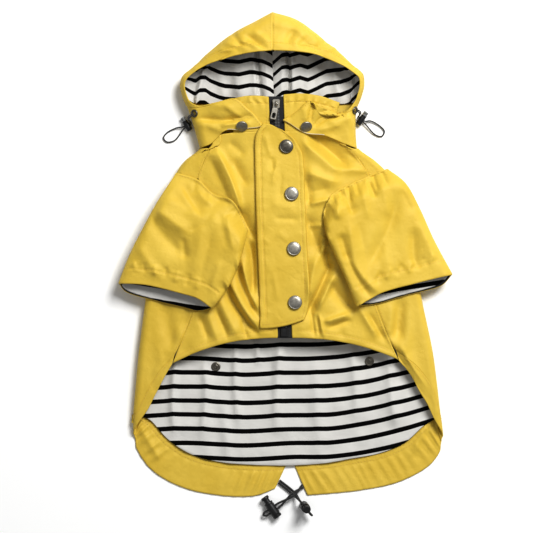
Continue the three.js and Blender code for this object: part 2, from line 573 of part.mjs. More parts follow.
function makeHood(side) {
  const at = (i, j) => hoodPoint(HOOD[j], side, i);
  const grid = gridOf(HOOD_COLUMNS, HOOD.length - 1, at, { flip: side > 0 });
  for (let k = 0; k < grid.points.length; k++) {
    const onSeam = k % (HOOD_COLUMNS + 1) === 0 || k >= (HOOD_COLUMNS + 1) * (HOOD.length - 1);
    if (onSeam) grid.normals[k].setX(0).normalize();
  }
  add('hood' + suffix(side), wall(grid, 0, SHELL), YELLOW);
  const lined = [0, HOOD_COLUMNS - 2];
  add('hood_lining' + suffix(side), wall(grid, LINED, LINED + LINING, lined, [6, grid.rows]), STRIPED);
  return grid;
}

// Collars: the two pieces that carry the zip on up from the neck seam, inside the front edges of the hood.
const COLLARS = {
  [-1]: patch(
    edge([-16, 123.4], [-28, 123.3], [-40, 122.8], [-52, 121.9]),
    edge([-17.2, 157.2], [-29, 158.2], [-40, 157.8], [-51, 155.8]),
    edge([-16, 123.4], [-16.6, 140], [-17.2, 157.2]),
    edge([-52, 121.9], [-52, 140], [-51, 155.8])),
  1: patch(
    edge([-0.4, 123.4], [11, 123.1], [23.5, 122.4], [35, 121.1], [44, 119.4]),
    edge([-1.7, 159.4], [14.5, 160.4], [34.5, 158], [54, 151.6]),
    edge([-0.4, 123.4], [-1, 140], [-1.7, 159.4]),
    edge([44, 119.4], [49, 136], [54, 151.6])),
};

function makeCollar(side) {
  const high = (x, y) => topHeight(x, y) - 1.2 * smooth((Math.abs(x) - 40) / 16);
  const at = (i, j) => {
    const p = COLLARS[side](i / 6, j / 4);
    return new THREE.Vector3(p.x, p.y, high(p.x, p.y));
  };
  const out = (i, j, p) => outOf(high, p.x, p.y);
  const grid = gridOf(6, 4, at, { flip: side < 0, out });
  add('collar' + suffix(side), wall(grid, 0, SHELL), YELLOW);
}

// Placket: the storm flap over the zip, sewn along its left edge and snapped along its right edge.
const PLACKET = [
  { lx: -22.3, ly: 130.2, rx: -7.5, ry: 126 },
  { lx: -28.5, ly: 122, rx: 5.8, ry: 117.2 },
  { lx: -30.5, ly: 111, rx: 13, ry: 107 },
  { lx: -30.5, ly: 97, rx: 16.5, ry: 97 },
  { lx: -30, ly: 76, rx: 17.8, ry: 76 },
  { lx: -29.5, ly: 54.5, rx: 18.5, ry: 54 },
  { lx: -28.8, ly: 33, rx: 19.5, ry: 33 },
  { lx: -28, ly: 12, rx: 20.4, ry: 12 },
  { lx: -27, ly: -9, rx: 21.4, ry: -9 },
  { lx: -26, ly: -32, rx: 22.3, ry: -32 },
  { lx: -25.2, ly: -56, rx: 22.4, ry: -52 },
  { lx: -24.9, ly: -73.5, rx: 18.5, ry: -64.6 },
];
const PLACKET_THICK = 2;
const PLACKET_LIFT = EASE + PLACKET_THICK;
const underPlacket = (x, y) => topHeight(x, y) - folds(x, y) * smooth((Math.abs(x) - 12) / 16) * 0.75;
const placketHeight = (x, y) => Math.max(underPlacket(x, y), topHeight(x, y)) + PLACKET_LIFT;

function makePlacket() {
  const columns = 8;
  const at = (i, j) => {
    const row = PLACKET[j], s = i / columns;
    const x = mix(row.lx, row.rx, s), y = mix(row.ly, row.ry, s ** 2);
    return new THREE.Vector3(x, y, placketHeight(x, y));
  };
  const out = (i, j, p) => outOf(placketHeight, p.x, p.y);
  const grid = gridOf(columns, PLACKET.length - 1, at, { out, flip: true });
  add('placket', wall(grid, 0, PLACKET_THICK), YELLOW);
}

// Zip: the tape under both front edges, the closed chain on it, slider, pull tab and bottom box.
const ZIP_TOP = 157.5, ZIP_FOOT = -83, SLIDER_Y = 150.5;
const tapeHeight = (y) => topHeight(0, y) - SHELL - SEAM;

function makeStrip(name, width, thick, lift, top, foot, look) {
  const rows = 14;
  const at = (i, j) => {
    const y = mix(top, foot, j / rows);
    return new THREE.Vector3(zipCentre(y) + (i / 2 - 0.5) * width, y, tapeHeight(y) + lift);
  };
  add(name, wall(gridOf(2, rows, at, { flip: true }), 0, thick), look);
}

// A closed geometry as a body that can be joined and cut.
function bodyOf(geometry) {
  const merged = mergeVertices(geometry.deleteAttribute('normal').deleteAttribute('uv'), 1e-4);
  return new wasm.Manifold(new wasm.Mesh({
    numProp: 3,
    vertProperties: new Float32Array(merged.attributes.position.array),
    triVerts: new Uint32Array(merged.index.array),
  }));
}

const box = (w, d, h, x, y, z) => bodyOf(new THREE.BoxGeometry(w, d, h).translate(x, y, z));

// A round bar along Z with its middle at the origin.
const rod = (length, r, sides = 16) => (
  bodyOf(new THREE.CylinderGeometry(r, r, length, sides).rotateX(Math.PI / 2)));

function solid(name, body, look, parent = coat) {
  const m = body.getMesh(), flat = new Float32Array(m.numVert * 3);
  for (let k = 0; k < m.numVert; k++) {
    flat.set(m.vertProperties.subarray(k * m.numProp, k * m.numProp + 3), k * 3);
  }
  const geometry = new THREE.BufferGeometry();
  geometry.setAttribute('position', new THREE.BufferAttribute(flat, 3));
  geometry.setIndex(Array.from(m.triVerts));
  return add(name, geometry, look, parent);
}

function makeZip() {
  makeStrip('zip_tape', ZIP_GAP + 6, 1, 0, ZIP_TOP, ZIP_FOOT, BLACK_TAPE);
  makeStrip('zip_chain', 5.5, 1.4, SEAM + 1.4, SLIDER_Y - 5.2, ZIP_FOOT + 10.5, BLACK_TAPE);
  const x = zipCentre(SLIDER_Y), z = tapeHeight(SLIDER_Y) + SEAM;
  const bridge = box(2.2, 5.4, 3, 0, 0, 4.6).subtract(box(4, 3, 1.9, 0, 0, 4.15));
  const plates = box(7.6, 9.4, 3.2, 0, 0, 1.6);
  solid('zip_slider', plates.add(bridge).translate([x, SLIDER_Y, z]), DARK_STEEL);
  const bar = rod(5.6, 0.6, 12).rotate([0, 90, 0]);
  const arms = box(1.1, 4.8, 1.1, -2.35, -2, 0).add(box(1.1, 4.8, 1.1, 2.35, -2, 0));
  const tab = box(6.4, 12.2, 1.1, 0, -10, 0).subtract(rod(3, 1.4, 16).translate([0, -13, 0]));
  const pull = bar.add(arms).add(tab).rotate([-2, 0, -12]).translate([x, SLIDER_Y, z + 4.05]);
  solid('zip_pull', pull, STEEL);
  const foot = ZIP_FOOT + 5.2;
  solid('zip_box', box(8, 8.6, 2.6, zipCentre(foot), foot, tapeHeight(foot) + SEAM + 1.3), BLACK_PLASTIC);
}

// Hardware that sits on the cloth: turned profiles, each laid along the surface under it.
function turned(profile, sides) {
  return mergeVertices(new THREE.LatheGeometry(profile.map(([r, z]) => new THREE.Vector2(r, z)), sides)
    .rotateX(Math.PI / 2).deleteAttribute('normal').deleteAttribute('uv'), 1e-4);
}

function seat(name, geometry, look, place, direction, lift = SEAM) {
  const turn = new THREE.Quaternion().setFromUnitVectors(new THREE.Vector3(0, 0, 1), direction);
  geometry.applyQuaternion(turn).translate(...place.clone().addScaledVector(direction, lift).toArray());
  add(name, geometry, look);
}

const SNAPS = [
  { name: 'snap_1', x: 0.8, y: 107.8, look: DARK_STEEL },
  { name: 'snap_2', x: 6.1, y: 60.5, look: STEEL },
  { name: 'snap_3', x: 8.3, y: 5.8, look: STEEL },
  { name: 'snap_4', x: 9.5, y: -47.8, look: STEEL },
];
const capProfile = (r, h) => [[0, 0], [r, 0], [r, h * 0.5], [r - 0.9, h], [r - 2.2, h * 0.7], [0, h * 0.8]];

function makeSnaps() {
  const on = (name, x, y, high, r, h, look, lift = SEAM) => {
    const place = new THREE.Vector3(x, y, high(x, y));
    seat(name, turned(capProfile(r, h), 14), look, place, outOf(high, x, y), lift);
  };
  for (const s of SNAPS) on(s.name, s.x, s.y, placketHeight, SNAP_DIAMETER / 2, SNAP_HEIGHT, s.look, 0.6);
  const flap = (x, y) => topHeight(x, y) + 2.2;
  on('flap_snap_l', -43.5, 129, flap, 5, 2, DARK_STEEL, 0.5);
  on('flap_snap_r', 20.5, 128.5, flap, 5, 2, DARK_STEEL, 0.5);
  const lined = () => LINED + LINING;
  on('lining_stud_l', -69.9, -112.7, lined, 4.6, 1.8, DARK_STEEL);
  on('lining_stud_r', 84.4, -107.5, lined, 4.6, 1.8, DARK_STEEL);
}

// Drawcords: each one comes out of the cloth as two strands, runs through its cord lock and ends in a loop.
// The lock is a barrel with a slot across it and a sprung plunger that pinches the two strands.
function makeLock(suffixName, place, axis, across, size, slot, travel) {
  const z = axis.clone().normalize(), x = across.clone().addScaledVector(z, -across.dot(z)).normalize();
  const frame = new THREE.Matrix4().makeBasis(x, z.clone().cross(x), z).setPosition(place);
  const cut = box(30, slot.wide, slot.long, 0, 0, 0);
  const body = rod(16 * size, 4.1 * size).translate([0, 0, -0.5 * size])
    .subtract(rod(16 * size, 3.05 * size).translate([0, 0, 1 * size + 0.01])).subtract(cut);
  const stem = rod(17 * size, 2.7 * size).translate([0, 0, 4.6 * size]);
  const cap = rod(2.6 * size, 3.7 * size).translate([0, 0, 12.3 * size]);
  const hole = box(30, slot.wide, slot.long + travel, 0, 0, travel / 2);
  solid('toggle' + suffixName, body, BLACK_PLASTIC).geometry.applyMatrix4(frame);
  const pressed = stem.add(cap).subtract(hole);
  solid('plunger' + suffixName, pressed, GREY_PLASTIC).geometry.applyMatrix4(frame);
}

function makeCord(name, points, diameter) {
  const curve = new THREE.CatmullRomCurve3(points.map((p) => new THREE.Vector3(...p)), false, 'centripetal');
  const ring = new THREE.Shape();
  ring.absarc(0, 0, diameter / 2, 0, Math.PI * 2);
  const steps = Math.min(80, Math.ceil(curve.getLength() / (diameter * 1.8)));
  const tube = new THREE.ExtrudeGeometry(ring, { steps, curveSegments: 3, extrudePath: curve });
  add(name, mergeVertices(tube.deleteAttribute('normal').deleteAttribute('uv'), 1e-4), CORD);
}

// Eyelets in the hood, and the two hood cords with their locks beside the neck.
const HOOD_CORD = 1.3, HOOD_LOCK = 0.68;
const HOOD_LOCKS = {
  [-1]: {
    row: 4, column: 5, at: [-98.7, 129.9], axis: [-7.2, 11.6], across: [-11.6, -7.2],
    lead: [[-94.8, 138.8, 19.6], [-97.2, 137, 13.5], [-96.8, 134.6, 7.6], [-95.2, 132.1, 3.4]],
    loop: [
      [-109.7, 127.3, 2], [-119, 122.6, 1.1], [-122.6, 117.4, 1.1],
      [-119.3, 113.4, 1.1], [-111.5, 114.8, 1.1]],
  },
  1: {
    row: 5, column: 5, at: [76.2, 135.6], axis: [7.7, 10.9], across: [10.9, -7.7],
    lead: [[72.6, 143.6, 19.2], [74.8, 142, 13], [74.4, 140, 7.6], [73.2, 137.9, 3.4]],
    loop: [
      [85.7, 134.4, 2], [95.5, 129, 1.1], [99.6, 123.8, 1.1],
      [96.9, 119, 1.1], [90.6, 120.4, 1.1]],
  },
};

function makeHoodCord(side, hoodGrid) {
  const cut = HOOD_LOCKS[side], k = hoodGrid.index(HOOD_FLOOR + cut.column, cut.row);
  const spot = hoodGrid.points[k], out = hoodGrid.normals[k];
  const ring = [[2.1, 0], [4, 0], [3.4, 1.1], [2.1, 0.8], [2.1, 0]];
  seat('eyelet' + suffix(side), turned(ring, 12), DARK_STEEL, spot, out);
  const size = HOOD_LOCK, gap = HOOD_CORD / 2 + 0.15;
  const middle = new THREE.Vector3(...cut.at, 4.1 * size + 0.3);
  const axis = new THREE.Vector3(...cut.axis, 0).normalize();
  const across = new THREE.Vector3(...cut.across, 0).normalize();
  const slot = { wide: HOOD_CORD + 0.7, long: 2 * gap + HOOD_CORD + 0.5 };
  makeLock('_hood' + suffix(side), middle, axis, across, size, slot, 2);
  const strand = (sign) => {
    const lead = cut.lead.map((p, n) => (
      new THREE.Vector3(...p).addScaledVector(axis, sign * gap * (n ? 1 : 0.9))));
    const first = spot.clone().addScaledVector(out, 1.4).addScaledVector(axis, sign * gap * 0.9);
    const near = middle.clone().addScaledVector(axis, sign * gap);
    const before = near.clone().addScaledVector(across, -1);
    const past = near.clone().addScaledVector(across, 3.8);
    return [first, ...lead, before, past].map((p) => p.toArray());
  };
  const a = strand(1), b = strand(-1).reverse();
  makeCord('cord_hood' + suffix(side), [...a, ...cut.loop, ...b], HOOD_CORD);
}

// Hem cords: each leaves the end of its casing at the slit, crosses the other and runs through its lock.
const HEM_CORD = 2.2;

function makeHemCord(name, exit, mid, at, axis, across, height, loop) {
  const gap = HEM_CORD / 2 + 0.8, middle = new THREE.Vector3(...at);
  const z = new THREE.Vector3(...axis).normalize(), x = new THREE.Vector3(...across);
  x.addScaledVector(z, -x.dot(z)).normalize();
  makeLock('_hem' + name, middle, z, x, 1.1, { wide: HEM_CORD + 1.2, long: 2 * gap + HEM_CORD + 1 }, 2.5);
  const strand = (sign) => {
    const near = middle.clone().addScaledVector(z, sign * gap);
    const beside = new THREE.Vector3(-x.y, x.x, 0).multiplyScalar(sign * (HEM_CORD / 2 + 0.25));
    const first = new THREE.Vector3(...exit[sign < 0 ? 0 : 1], 1.4);
    const second = new THREE.Vector3(...mid, height).add(beside);
    const before = near.clone().addScaledVector(x, -7.5);
    const past = near.clone().addScaledVector(x, 5.4);
    return [first, second, before, near, past].map((p) => p.toArray());
  };
  const a = strand(-1), b = strand(1).reverse();
  makeCord('cord_hem' + name, [...a, ...loop, ...b], HEM_CORD);
}

makeBack();
for (const side of [-1, 1]) {
  makeHemCasing(side);
  makeFront(side);
  makeSleeve(side);
  makeHoodCord(side, makeHood(side));
  makeCollar(side);
}
makeHemCord('_l', [[18.1, -234.2], [17, -231.7]], [8.4, -240.5], [-12.75, -256.1, 4.9],
  [-0.573, 0.82, 0], [-0.82, -0.573, 0], 6.8,
  [[-19.2, -262.5, 4.6], [-21.9, -261.9, 4.4], [-21.2, -259.3, 4.6]]);
makeHemCord('_r', [[-6.9, -229.6], [-5.9, -227.1]], [8.2, -240.2], [19.5, -253.2, 10.2],
  [0.12, -0.1, 1], [0.64, -0.77, 0], 2.4, [[24.9, -260.4, 8.2], [26.6, -261.7, 9.6], [25.3, -260.2, 11]]);
makePlacket();
makeZip();
makeSnaps();

// The origin is under the middle of the coat without its cords and their locks, on the table.
const ON_CORDS = /^(cord|toggle|plunger)/;
const whole = new THREE.Box3();
for (const mesh of coat.children) if (!ON_CORDS.test(mesh.name)) whole.expandByObject(mesh, true);
const middle = whole.getCenter(new THREE.Vector3());
for (const mesh of coat.children) mesh.geometry.translate(-middle.x, -middle.y, -whole.min.z);

export default coat;
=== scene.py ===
"""Looks of the hooded dog raincoat: laid out belly side up on a pale table and seen from straight above.

The cloth is rebuilt as thin shells over the solids of the part, from the same rows and sections, with the
creases of the photograph listed one by one. Lengths are in millimetres in the garment's own layout frame
until a mesh is made. "l" is the -X side.
"""

import logging  # noqa: E402
import math  # noqa: E402
from dataclasses import dataclass, field  # noqa: E402
from enum import Enum  # noqa: E402
from typing import Callable, Optional, Sequence  # noqa: E402

import bpy  # noqa: E402
import numpy as np  # noqa: E402
from mathutils import Matrix, Vector  # noqa: E402


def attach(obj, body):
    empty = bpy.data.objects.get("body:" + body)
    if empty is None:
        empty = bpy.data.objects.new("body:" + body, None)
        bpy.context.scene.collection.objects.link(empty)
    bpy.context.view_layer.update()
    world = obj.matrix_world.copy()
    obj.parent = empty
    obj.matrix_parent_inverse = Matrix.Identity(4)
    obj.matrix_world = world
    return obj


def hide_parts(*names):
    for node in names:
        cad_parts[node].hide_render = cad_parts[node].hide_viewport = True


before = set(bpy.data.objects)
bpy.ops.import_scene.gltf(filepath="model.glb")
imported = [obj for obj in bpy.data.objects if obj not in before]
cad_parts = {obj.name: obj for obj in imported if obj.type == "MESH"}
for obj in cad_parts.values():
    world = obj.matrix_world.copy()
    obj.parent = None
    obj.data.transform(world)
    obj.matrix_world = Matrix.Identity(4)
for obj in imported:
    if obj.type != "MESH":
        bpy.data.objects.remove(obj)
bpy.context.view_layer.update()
LOG = logging.getLogger("raincoat")
Array = np.ndarray
Piece = bpy.types.Object
Finish = bpy.types.Material
Socket = bpy.types.NodeSocket
Tree = bpy.types.GeometryNodeTree

MM = 0.001
SHIFT = np.array([0.1, -0.0745, 0.0])  # from the layout frame to the part's frame
SHELL, LINING, SEAM, EASE = 1.2, 1.0, 0.3, 0.9
LINED = SHELL + 0.6
ZIP_GAP = 15.0
RELIEF = 1.5  # how much deeper the creases are than drawn in their tables


def mix(a: Array, b: Array, t: Array) -> Array:
    """Value a share t of the way from a to b."""
    return a + (b - a) * t


def smooth(x: Array) -> Array:
    """Soft step from 0 to 1 as x goes from 0 to 1."""
    x = np.clip(x, 0.0, 1.0)
    return x * x * (3 - 2 * x)


def bell(x: Array) -> Array:
    """Bell curve, 1 at 0."""
    return np.exp(-(x**2))


def spline(points: Array, u: Array) -> Array:
    """Smooth curve through rows of numbers.

    Args:
        points: one row of numbers for each knot.
        u: place on the curve, counted in knots from 0.

    Returns:
        One row of numbers for each u.
    """
    p = np.asarray(points, float)
    p = np.concatenate([[2 * p[0] - p[1]], p, [2 * p[-1] - p[-2]]])
    u = np.clip(np.asarray(u, float), 0, len(p) - 3)
    k = np.minimum(u.astype(int), len(p) - 4)
    t = (u - k)[(...,) + (None,) * (p.ndim - 1)]
    a, b, c, d = p[k], p[k + 1], p[k + 2], p[k + 3]
    return 0.5 * (2 * b + (c - a) * t + (2 * a - 5 * b + 4 * c - d) * t**2 + (3 * b - a - 3 * c + d) * t**3)


@dataclass(frozen=True)
class Table:
    """Rows of sizes with named columns, the first of which runs downwards."""

    names: str
    rows: tuple

    def __getitem__(self, name: str) -> Array:
        """One column."""
        return np.array(self.rows, float)[:, self.names.split().index(name)]

    def at(self, name: str, y: Array) -> Array:
        """Value of a column where the first column is y, on a smooth curve through the rows."""
        ys, v = np.array(self.rows, float)[:, 0], self[name]
        n = len(ys)
        i = np.searchsorted(-ys[1 : n - 1], -np.asarray(y, float), side="left")
        k = np.arange(n)
        lo, hi = np.maximum(0, k - 1), np.minimum(n - 1, k + 1)
        slope = (v[hi] - v[lo]) / (ys[hi] - ys[lo])
        h = ys[i + 1] - ys[i]
        t = np.clip((y - ys[i]) / h, 0, 1)
        first = (2 * t**3 - 3 * t**2 + 1) * v[i] + (t**3 - 2 * t**2 + t) * h * slope[i]
        return first + (3 * t**2 - 2 * t**3) * v[i + 1] + (t**3 - t**2) * h * slope[i + 1]


OUTLINE = Table("y left right radius crest", (
    (172, -106, 79, 10, 24), (160, -103, 76.5, 10, 24), (142, -96.5, 70.8, 9.5, 24),
    (124, -90.5, 70.5, 9, 23.5), (107, -86, 73, 8.5, 23), (94, -101, 90, 8, 24),
    (82, -109.5, 102, 7.5, 25), (60, -117, 113, 7.5, 26), (30, -126, 122, 7.5, 26),
    (0, -134, 129, 7.5, 26), (-45, -140.5, 137, 7.5, 25), (-95, -147, 147.5, 7.5, 22),
    (-130, -150.3, 152.3, 7, 20), (-158, -152.8, 155.5, 6, 18), (-175, -153.4, 158, 5, 16),
    (-190, -153.6, 159.2, 3.6, 12), (-215, -153.6, 159.4, 3, 10),
))
SHOULDER = (
    (-65, 120, 48, 118, 106.3), (-74, 108, 62, 107, 99), (-82, 92, 75, 93, 90), (-87.5, 76.5, 83.5, 78.5, 79),
)
ARMHOLE_FRONT = (
    (-80, 64.5, 76, 71), (-71.5, 57, 65, 66.5), (-61, 53.5, 56, 61.5), (-53, 47.5, 48.5, 55.5),
    (-46, 36.5, 42.5, 44.5), (-42, 25.5, 41, 34), (-47, 15.5, 46, 19),
)
ARMHOLE_BACK = (
    (-106, 73, 100, 74, 73), (-112, 62, 107, 62, 61), (-108, 42, 104, 42, 43), (-95, 23, 91, 23, 25),
)
SIDE_SEAM = (
    (-76, 10, 73, 9, 8), (-82, -15, 80.5, -17, -15), (-87.5, -38, 86, -38, -37),
    (-92.5, -56, 92, -55, -55), (-97.5, -70, 97.5, -70, -70), (-103, -84, 103, -84, -84),
)
HEM = Table("lx ly rx ry elx ely erx ery round", (
    (-110.7, -99.5, 110.5, -96, -113.5, -109.5, 114, -106, 0),
    (-119, -109, 121, -103.5, -121, -122, 125, -120, 0),
    (-129, -120.5, 133, -113.5, -130, -139, 134, -136, 0),
    (-141, -141, 146, -131, -138.5, -155.5, 143, -151, 0),
    (-148.5, -157, 153.5, -152, -149.5, -171, 153, -171, 0),
    (-138, -163, 146, -162, -151.6, -184, 157.5, -187, 1),
    (-128.5, -173, 137, -174, -149, -195.5, 154.5, -199, 1),
    (-115, -188, 126, -188, -137, -213.5, 143.5, -212.5, 1),
    (-101, -197.5, 111, -196, -118.5, -227, 124, -224, 1),
    (-81, -205, 89.5, -201.5, -95, -236.5, 103, -231.5, 1),
    (-60.5, -209, 62.5, -205, -72, -241, 76, -236.5, 1), (-40, -210.7, 45, -208, -49, -243, 60, -238.5, 1),
    (-20, -211.5, 25, -210.5, -28.5, -241.8, 40, -240.3, 1),
    (-0.5, -211.8, 9.5, -211.8, -10.5, -235, 22.5, -241.6, 1),
))
FRONT_ZIP_Y = (123, 109, 95, 83, 74, 67, 60, 51, 39, 26, 14, 5, -14, -31, -45, -58, -70, -83)
HEM_ENDS = ((-112.8, -108.5, 113.3, -105),)
HOOD = Table("sx sy lqx lqy lex ley rqx rqy rex rey radius top bow", (
    (-9, 106.6, -86, 106.8, -25, 127.8, 71.8, 106.8, -1.5, 130.3, 9.5, 26, 1),
    (-9.3, 113, -88, 114, -24.5, 131, 71, 114.5, -1, 132.3, 9.7, 26, 0.85),
    (-9.7, 121, -90.4, 123, -37, 143.8, 70.5, 123, 11, 142.5, 9.9, 26, 0.15),
    (-10, 129, -93, 132, -50.5, 155.5, 70.4, 131, 24.5, 152.5, 10, 26, 0),
    (-10.3, 136, -95.5, 139, -68, 152.5, 70.5, 138, 36, 139.5, 10, 26, 0),
    (-10.6, 142, -97.6, 145.5, -86, 148.8, 71.5, 144.8, 59.5, 143, 10.2, 26, 0),
    (-11, 149, -100.6, 152.5, -95.5, 152.8, 73.8, 152.3, 69, 151.5, 10.5, 26, 0),
    (-11.3, 156, -103.4, 160.5, -99.4, 160.5, 76.3, 160.5, 72.3, 160, 11, 26, 0),
    (-11.6, 163, -105.4, 168.8, -101.2, 168.6, 78.6, 169, 74.5, 168.8, 11.5, 26, 0),
    (-12, 170, -103.6, 178.2, -99, 176.2, 78.3, 179.4, 73.8, 176.8, 12, 26.5, 0),
    (-12.2, 175, -97, 184.6, -90, 183.6, 73.6, 185.2, 67.5, 182.6, 12.5, 27, 0),
    (-12.4, 179, -86.5, 194, -79.5, 189.4, 66.5, 191.4, 58.5, 188.5, 13, 29, 0),
    (-12.6, 182, -71.9, 207.1, -65, 194.4, 52.1, 204.2, 45, 194.2, 14, 31, 0),
    (-12.8, 184.5, -52.5, 221.4, -48, 198.8, 35, 217.8, 29, 199.8, 15, 34, 0),
    (-13, 187, -33.7, 231.8, -31, 201.8, 12, 234.8, 8.5, 202.6, 15, 36, 0),
    (-13, 190, -13, 242.9, -13, 203.5, -13, 242.9, -13, 203.5, 15, 36.5, 0),
))
FLAP_BOW = ((-77, 0), (-59.7, 8.5), (-42.3, 3), (-25, 0), (-1.5, 3.4), (19.9, -2.2), (41.3, 1.9), (62.8, 0))
PLACKET_ROWS = Table("lx ly rx ry", (
    (-22.3, 130.2, -7.5, 126), (-28.5, 122, 5.8, 117.2), (-30.5, 111, 13, 107), (-30.5, 97, 16.5, 97),
    (-30, 76, 17.8, 76), (-29.5, 54.5, 18.5, 54), (-28.8, 33, 19.5, 33), (-28, 12, 20.4, 12),
    (-27, -9, 21.4, -9), (-26, -32, 22.3, -32), (-25.2, -56, 22.4, -52), (-24.9, -73.5, 18.5, -64.6),
))

# The lining's two studs: solid, x and y.
STUDS = (("lining_stud_l", -69.9, -112.7), ("lining_stud_r", 84.4, -107.5))


@dataclass(frozen=True)
class Crease:
    """A fold of cloth from (x0, y0) to (x1, y1).

    A ridge has a height over 0 and a trough one under 0. bow moves its middle sideways, and steep makes
    the flank on its right, looking from start to end, steeper than the other.
    """

    x0: float
    y0: float
    x1: float
    y1: float
    width: float
    height: float
    bow: float = 0.0
    steep: float = 0.0

    def over(self, x: Array, y: Array) -> Array:
        """Height that the crease adds over (x, y)."""
        dx, dy = self.x1 - self.x0, self.y1 - self.y0
        long = math.hypot(dx, dy)
        along = ((x - self.x0) * dx + (y - self.y0) * dy) / long**2
        off = ((x - self.x0) * dy - (y - self.y0) * dx) / long
        off = off - self.bow * 4 * np.clip(along, 0, 1) * (1 - np.clip(along, 0, 1))
        u = off / self.width
        u = u * (1 + self.steep * np.tanh(2 * u))
        ends = smooth(0.5 + (0.5 - np.abs(along - 0.5)) * 2.5)
        return self.height * np.exp(-(np.abs(u) ** 1.6)) * ends


def folds(*rows: Sequence[float]) -> tuple:
    """Creases from rows of x0, y0, x1, y1, width, height, bow and steep."""
    return tuple(Crease(*row) for row in rows)


def creased(creases: Sequence[Crease], x: Array, y: Array) -> Array:
    """Height of all these creases together over (x, y)."""
    total = np.zeros(np.shape(x))
    for crease in creases:
        total = total + crease.over(x, y)
    return total * RELIEF


def rumple(x: Array, y: Array, size: float, seed: int) -> Array:
    """Smooth random height between -1 and 1, with bumps of about that size.

    Args:
        x: place across.
        y: place along.
        size: distance between bumps.
        seed: picks the pattern.

    Returns:
        A height for each place.
    """
    rng = np.random.default_rng(seed)
    lattice = rng.uniform(-1, 1, (64, 64))
    gx, gy = np.asarray(x) / size + 500.5, np.asarray(y) / size + 500.5
    i, j = np.floor(gx).astype(int), np.floor(gy).astype(int)
    s, t = smooth(gx - i), smooth(gy - j)

    def knot(a: Array, b: Array) -> Array:
        """Lattice value."""
        return lattice[a % 64, b % 64]

    low = mix(knot(i, j), knot(i + 1, j), s)
    high = mix(knot(i, j + 1), knot(i + 1, j + 1), s)
    return mix(low, high, t)


# Creases of the two fronts and of the sides that wrap round to them.
FRONT_CREASES = folds(
    (-69, 103, -46, 48, 5.0, 3.6, -2, -0.5), (-75, 96, -58, 58, 5, -1.2), (-52, 94, -39, 70, 5.5, -1.7, 1),
    (-56, 112, -42, 100, 4, -1.0), (-45, 44, -31, 17, 4.5, -3.4, 1, 0.4),
    (-37, 16, -33, -40, 5.5, -4.2, -3, 0.3), (-29.5, 14, -28.5, -38, 3, 1.8),
    (-43, -8, -28, -54, 3.2, 2.8, 2, 0.3), (-49, -14, -30, -58, 3.4, -2.6, 2),
    (-54, -30, -28, -73, 3.6, 3.2, 2, 0.4), (-60, -34, -30, -77, 4.2, -3.2, 2),
    (-66, -44, -48, -80, 5, 1.6, 1), (-69, -56, -58, -82, 2.8, -1.8),
    (-86, -62, -78, -84, 2.6, -1.6, 0, 0.3), (-78, -58, -68, -86, 4, 1.3), (-44, -66, -38, -83, 2, -1.2),
    (16, 112, 50, 84, 5, 2.6, -1, -0.3), (27, 119, 60, 90, 7, -4.4, 0, 0.2), (49, 86, 80, 84, 4.5, 1.6),
    (21, 83, 52, 72, 6, 2.0, 1), (20, 75, 24, 50, 4, -2.0), (24, 50, 44, 55, 3, 1.7),
    (24, 62, 42, 66, 4, -0.9), (22, 36, 34, 4, 7, -2.6), (24, 28, 36, 29, 2.2, 1.0),
    (38, 18, 36, 1, 2.6, 2.3, 0, 0.3), (41, 5, 44, -14, 4, -4.0, 2), (44, -12, 21, -60, 4.2, -4.4, -1, 0.3),
    (31, -4, 24, -40, 5, 2.2, 1), (48, -22, 33, -52, 4, 2.8, 0, -0.4), (46, -30, 68, -54, 7, -3.4, 2),
    (62, -60, 40, -67, 3, 2.6, 0, 0.3), (64, -66, 44, -73, 3, -1.8), (26, -58, 29, -80, 2, -1.3),
    (34, -62, 38, -81, 2.2, 1.4), (31, -62, 34, -80, 1.8, -1.1), (74, -54, 90, -80, 4, 1.7),
    (84, -60, 98, -84, 3, -1.6), (-80, 112, -74, 98, 5, 1.0), (58, 112, 70, 96, 4, -1.2),
    (-22, 60, -24, 20, 4, 0.5),
)
WRAP_CREASES = folds(
    (-121, -50, -112, -92, 6, -2.0, 2), (-134, -60, -126, -104, 5, 1.5, -2), (-104, -72, -112, -96, 4, 1.6),
    (-142, -92, -132, -136, 4.5, -1.6, 1), (-118, -96, -140, -134, 3, 1.3),
    (-139, -118, -147, -150, 3, 1.4), (-96, -50, -104, -78, 3.5, -1.2), (-126, -84, -119, -108, 3, -1.0),
    (117, -44, 112, -82, 4.5, -3.6, 1, 0.3), (125, -44, 122, -90, 5, 2.4), (106, -52, 103, -80, 4, 1.8),
    (134, -56, 133, -100, 5, -1.8, 2), (113, -86, 146, -138, 3.2, 2.0, 2, 0.4),
    (110, -96, 144, -146, 2.6, -1.4, 2), (138, -104, 150, -150, 4, -1.5), (104, -84, 118, -98, 2.6, 1.3),
)


def silhouette(side: Array, y: Array) -> Array:
    """Distance from the middle line to the side fold."""
    return np.where(side < 0, -OUTLINE.at("left", y), OUTLINE.at("right", y))


def top_detail(x: Array, y: Array) -> Array:
    """Height that the creases and soft waves add to the coat's top layer over (x, y)."""
    side = np.where(x < 0, -1, 1)
    out, r = silhouette(side, y), OUTLINE.at("radius", y)
    inner = np.clip((out - np.abs(x) - r) / (out - r), 0, 1)
    free = smooth(inner * 6) * smooth((np.abs(x) - 12) / 14)
    waves = 0.45 * rumple(x, y, 19, 3) + 0.22 * rumple(x, y, 8, 4)
    creases = 1.25 * creased(FRONT_CREASES, x, y) + creased(WRAP_CREASES, x, y)
    return creases * free + waves * smooth(inner * 9)


